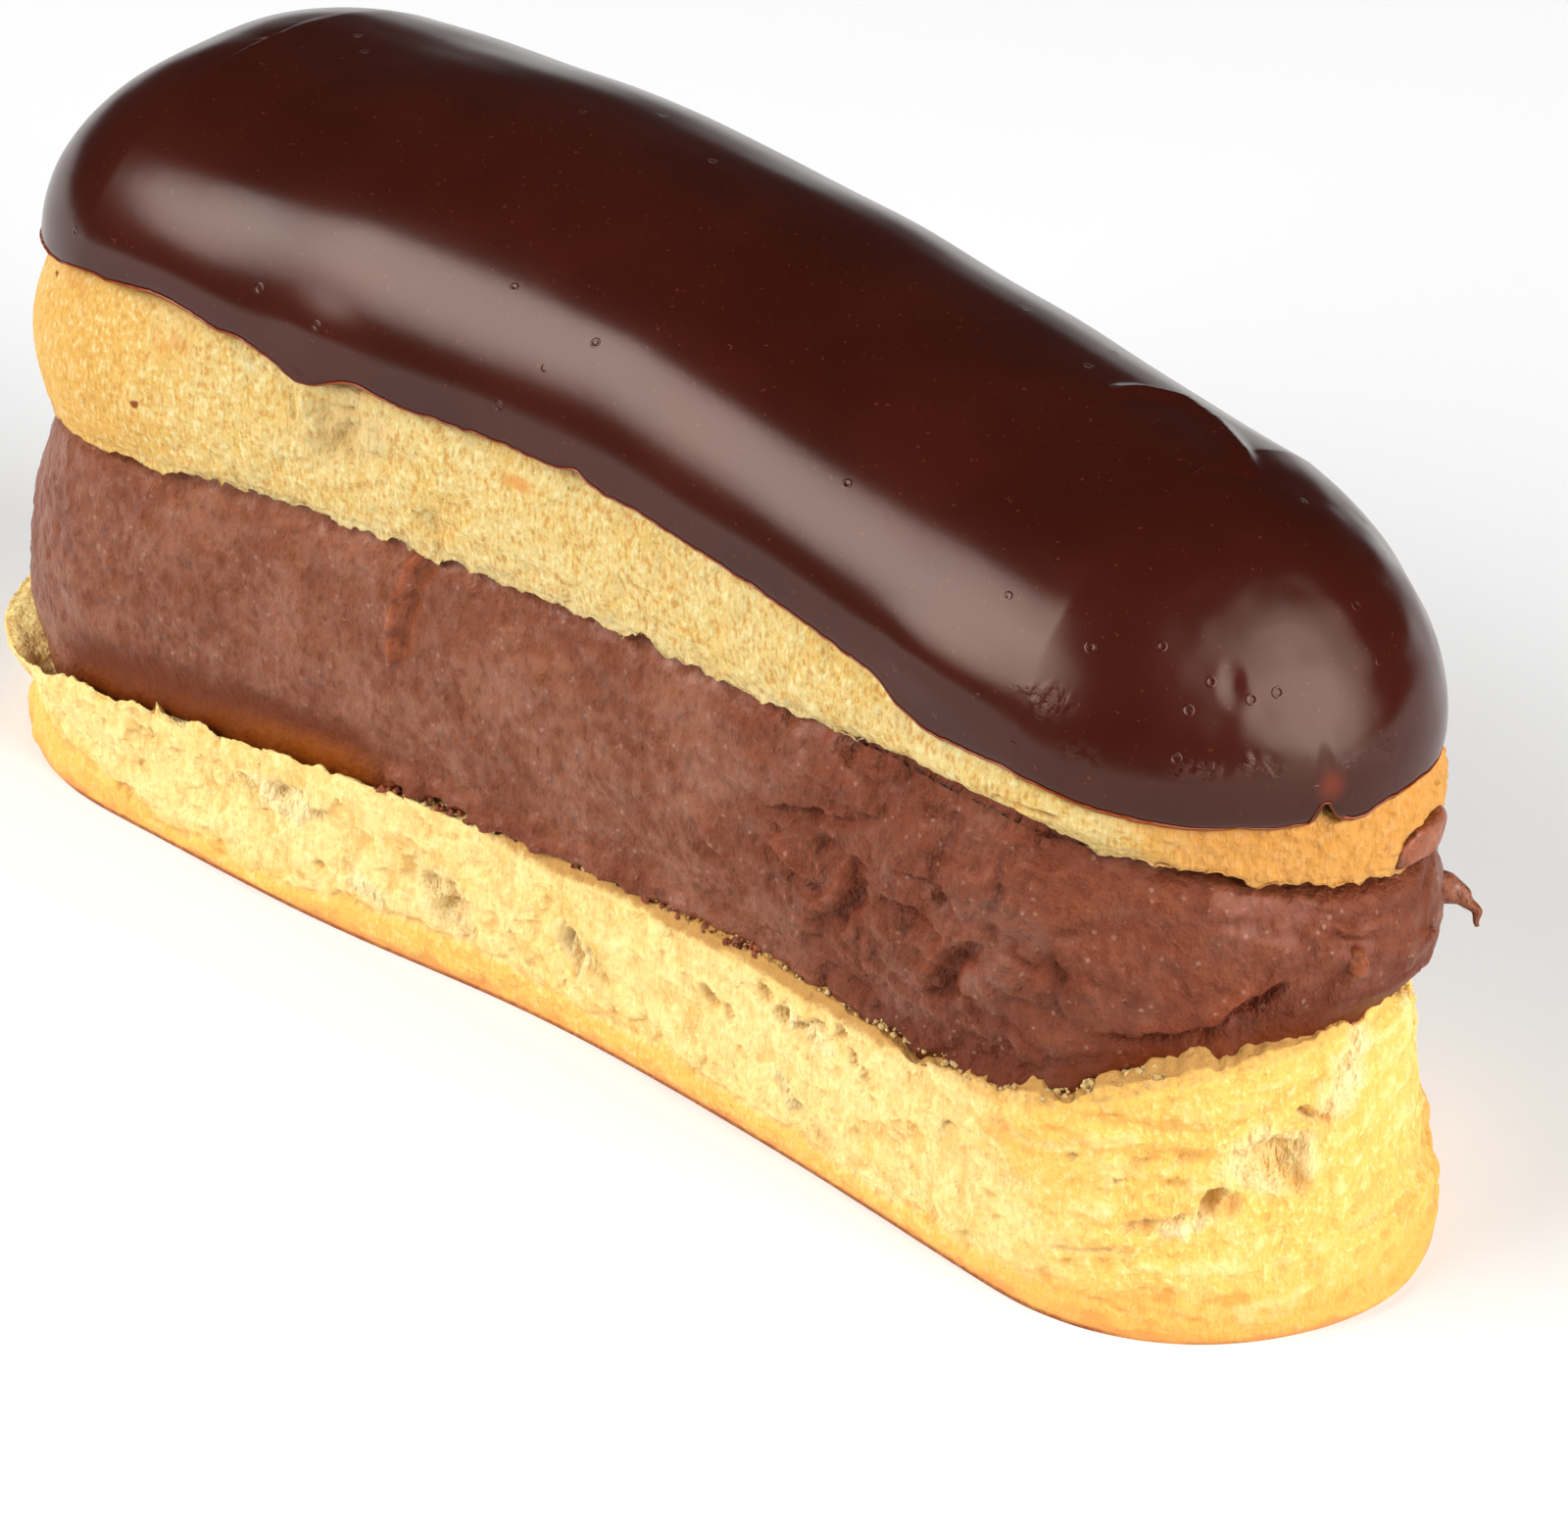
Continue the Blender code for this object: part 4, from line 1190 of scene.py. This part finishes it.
# %% The wisp
def tube(name, places, spokes=16, finer=8):
    """A closed tapering tube through places, in mm."""
    steps_along = np.linspace(0, len(places) - 1, (len(places) - 1) * finer + 1)
    knots = np.arange(len(places))
    *axes, radius = [np.interp(steps_along, knots, values) for values in np.array(places).T]
    route = np.stack(axes, axis=-1)
    for _ in range(6):
        route[1:-1] = (route[:-2] + 2 * route[1:-1] + route[2:]) / 4
    ahead = np.gradient(route, axis=0)
    ahead /= np.linalg.norm(ahead, axis=1, keepdims=True)
    side = np.cross(ahead, (0.3, 0.2, 1.0))
    side /= np.linalg.norm(side, axis=1, keepdims=True)
    above = np.cross(side, ahead)
    corners = []
    for k in range(spokes):
        angle = 2 * math.pi * k / spokes
        way = side * math.cos(angle) * 0.8 + above * math.sin(angle)
        corners.append(route + way * radius[:, None])
    points = np.array(corners).transpose(1, 0, 2)
    points *= 1 + 0.004 * grain(points * MM, 0.8, 9)[..., None]
    last = (len(route) - 1) * spokes
    caps = [list(range(spokes))[::-1], list(range(last, last + spokes))]
    return finished(name, points * MM, quads_round(points) + caps, {})


WISP = (  # x, y, z and radius in mm
    (60.8, 6.0, 28.6, 1.7), (62.5, 7.0, 28.0, 1.6), (63.8, 8.0, 27.7, 1.25),
    (64.9, 8.5, 27.3, 0.75), (65.9, 8.8, 26.5, 0.42), (66.4, 8.6, 25.3, 0.2),
)
wisp = tube("cream_wisp", WISP)
dressed(wisp, cream_coat)

# %% Dabs
def dab(name, wall, turn, up, wide, tall, thick, seed, masks, rings=14, spokes=40):
    """A closed lump of cream or icing that clings to a wall. Sizes are in mm."""
    shares = np.linspace(0, 1, rings)
    angle = np.linspace(0, 2 * math.pi, spokes, endpoint=False)
    circle = np.stack([np.cos(angle), np.sin(angle), 0 * angle], axis=-1)
    outline = 1 + 0.35 * rough(circle * MM, 0.9, 2, seed)
    layers = [(share, thick * math.sqrt(1 - share**2)) for share in shares]
    layers += [(share, -0.5 * (1 - share)) for share in shares[-2::-1]]
    rows = []
    for share, out in layers:
        side = wide / 2 * share * outline * np.cos(angle)
        rise = tall / 2 * share * outline * np.sin(angle)
        turns = turn + side * MM / ROUND
        heights = (up + rise) * MM
        rows.append(stand(turns, wall.reach(turns, heights) + out * MM, heights))
    points = np.array(rows)
    shake = rough(points, 1.1, 2, seed) * 0.3 * thick * MM
    lift = np.array([math.sqrt(1 - share**2) for share in shares] + [0] * (rings - 1))
    away = points[0, 0] - stand(np.array([turn]), 0.0, up * MM)[0]
    points += (away / np.linalg.norm(away)) * (shake * lift[:, None])[..., None]
    return finished(name, points, quads_round(points), masks)


smear_dab = dab("cream_smear", cap_wall, 0.508, 36.4, 7.6, 3.6, 0.9, 5, {"warm": 0.8})
dressed(smear_dab, cream_coat)
nodule = dab("cream_nodule", cream_wall, 0.4795, 29.8, 2.0, 1.9, 1.1, 6, {"warm": 1.0})
dressed(nodule, cream_coat)

# %% Crumbs
def crumb_points(size, seed):
    """A rough little ball."""
    ball = bmesh.new()
    bmesh.ops.create_icosphere(ball, subdivisions=2, radius=1.0)
    points = np.array([vertex.co[:] for vertex in ball.verts])
    faces = [[vertex.index for vertex in face.verts] for face in ball.faces]
    ball.free()
    uneven = 1 + 0.45 * grain(points * MM, 0.7, seed)
    return points * uneven[:, None] * size, faces


def scattered(name, count, places, sizes, masks, seed):
    """Rough bits on the rim, joined into one piece. Places are the first and last turn and the least and
    most mm in from the rim. Sizes are the least and most, in mm."""
    chance = np.random.default_rng(seed)
    corners, faces = [], []
    for number in range(count):
        one = np.array([chance.uniform(places[0], places[1])])
        size = sizes[0] + (sizes[1] - sizes[0]) * chance.uniform(0, 1) ** 2.5
        inwards = chance.uniform(places[2], places[3])
        lift = 0.4 * max(inwards, 0) + size * 0.3
        reach = base_wall.reach(one, read(rim_height, one)) - inwards * MM
        middle = stand(one, reach, read(rim_height, one) + lift * MM)[0]
        points, its_faces = crumb_points(size * chance.uniform(0.6, 1.3, 3), number)
        faces += [[corner + len(corners) for corner in face] for face in its_faces]
        corners += (points * MM + middle).tolist()
    return finished(name, np.array(corners), faces, masks)


loose = choux_finish("loose_crumb", warmth=0.02, contrast=0.6, brightness=0.72)
near_masks = {"torn": 0.4, "wet_and_shade": 0.45}
rim_masks = {"torn": 0.5}
bit_masks = {"warm": 0.6, "dark": 0.3}
at_foot = scattered("crumbs_near", 230, (0.335, 0.425, 0.0, 1.5), (0.10, 0.32), near_masks, 23)
along_rim = scattered("crumbs_rim", 130, (0.21, 0.345, -0.05, 0.8), (0.08, 0.24), rim_masks, 24)
bits = scattered("cream_bits", 110, (0.206, 0.31, -0.1, 0.7), (0.12, 0.42), bit_masks, 25)
dressed(at_foot, loose)
dressed(along_rim, loose)
dressed(bits, cream_coat)

# %% [markdown]
# ## The stage
#
# The eclair stands on a plain white floor between two large soft lamps, one to the left and one to the
# right of the camera. The crumb only shows how strong a lamp is, but the icing shows its outline too, and
# one lamp can't be right for both. So each side has two kinds. A rectangle lights the surfaces and is never
# mirrored. A stack of four ellipses is only mirrored: where they overlap the light adds up, so the long
# soft light on the icing fades towards its rim. The ceiling stays dark, and so does the top of the icing.

# %% Lamps
LAMP_AWAY = 1.2  # m
LAMP_AIM = Vector((0, 0, 30 * MM))


def seen_from(turn_deg, rise_deg):
    """The way from the eclair to a lamp or camera. The turn is 0 in front of the eclair's long side and
    grows towards +X."""
    turn, rise = math.radians(turn_deg), math.radians(rise_deg)
    return Vector((math.sin(turn) * math.cos(rise), -math.cos(turn) * math.cos(rise), math.sin(rise)))


def area_lamp(name, turn_deg, rise_deg, wide, tall, light, roll_deg=0.0, gloss=False):
    """A soft lamp aimed at the eclair. A gloss lamp is only mirrored, the others only light surfaces.
    The light is for each square metre of lamp, and an ellipse has pi / 4 of its rectangle's area."""
    lamp = bpy.data.lights.new(name, "AREA")
    lamp.shape = "ELLIPSE" if gloss else "RECTANGLE"
    lamp.size, lamp.size_y = wide, tall
    lamp.energy = light * wide * tall * math.pi * (math.pi / 4 if gloss else 1)
    made = in_scene(name, lamp)
    way = seen_from(turn_deg, rise_deg)
    made.location = way * LAMP_AWAY + LAMP_AIM
    rolled = Quaternion((0, 0, 1), math.radians(roll_deg))
    made.rotation_euler = (way.to_track_quat("Z", "Y") @ rolled).to_euler()
    made.visible_glossy, made.visible_diffuse = gloss, not gloss


area_lamp("lamp_left", -35, 30, 1.1, 0.8, 7.3)
area_lamp("lamp_right", 94, 28, 0.85, 0.95, 8.2)
LEFT_GLOSS = (  # turn and rise in degrees, width and height in m, light, roll
    (-26, 36, 1.62, 0.82, 2.0, -20), (-31, 37, 1.30, 0.67, 2.0, -21),
    (-36, 38, 0.98, 0.53, 2.0, -23), (-41, 39, 0.66, 0.38, 1.6, -25),
)
RIGHT_GLOSS = (
    (88, 33, 1.58, 2.2, 1.4, -15), (85, 31, 1.30, 1.9, 1.4, -15),
    (81, 27, 1.0, 1.5, 1.6, -12), (78, 22, 0.72, 1.0, 1.6, -10),
)
for side, layers in (("left", LEFT_GLOSS), ("right", RIGHT_GLOSS)):
    for number, (turn, rise, wide, tall, light, roll) in enumerate(layers):
        area_lamp(f"gloss_{side}_{number}", turn, rise, wide, tall, light, roll, gloss=True)

# %% Room and floor
world = bpy.data.worlds.new("room")
world.use_nodes = True
background = world.node_tree.nodes["Background"]
background.inputs["Color"].default_value = (1, 1, 1, 1)
background.inputs["Strength"].default_value = 0.03
bpy.context.scene.world = world

floor_mesh = bpy.data.meshes.new("floor")
floor_mesh.from_pydata([(-6, -6, 0), (6, -6, 0), (6, 6, 0), (-6, 6, 0)], [], [(0, 1, 2, 3)])
floor = in_scene("floor", floor_mesh)
white, white_shader, white_flow = start_finish("white_floor")
settle(white_flow, white_shader, {
    "Base Color": (0.70, 0.70, 0.70, 1),
    "Roughness": 0.9,
    "Specular IOR Level": 0.1,
    "Emission Color": (1, 1, 1, 1),
    "Emission Strength": 0.23,
})
floor_mesh.materials.append(white)

# %% Camera
camera_data = bpy.data.cameras.new("camera")
camera_data.sensor_width = 36
camera_data.lens = 127.6
camera_data.clip_start = 0.01
camera = in_scene("camera", camera_data)
CAMERA_AWAY = 0.41  # m
aim = Vector((18.0, -12.0, 28.0)) * MM
back = seen_from(42.5, 33.0)
camera.location = aim + back * CAMERA_AWAY
camera.rotation_euler = back.to_track_quat("Z", "Y").to_euler()
bpy.context.scene.camera = camera
bpy.context.scene.view_settings.view_transform = "Standard"
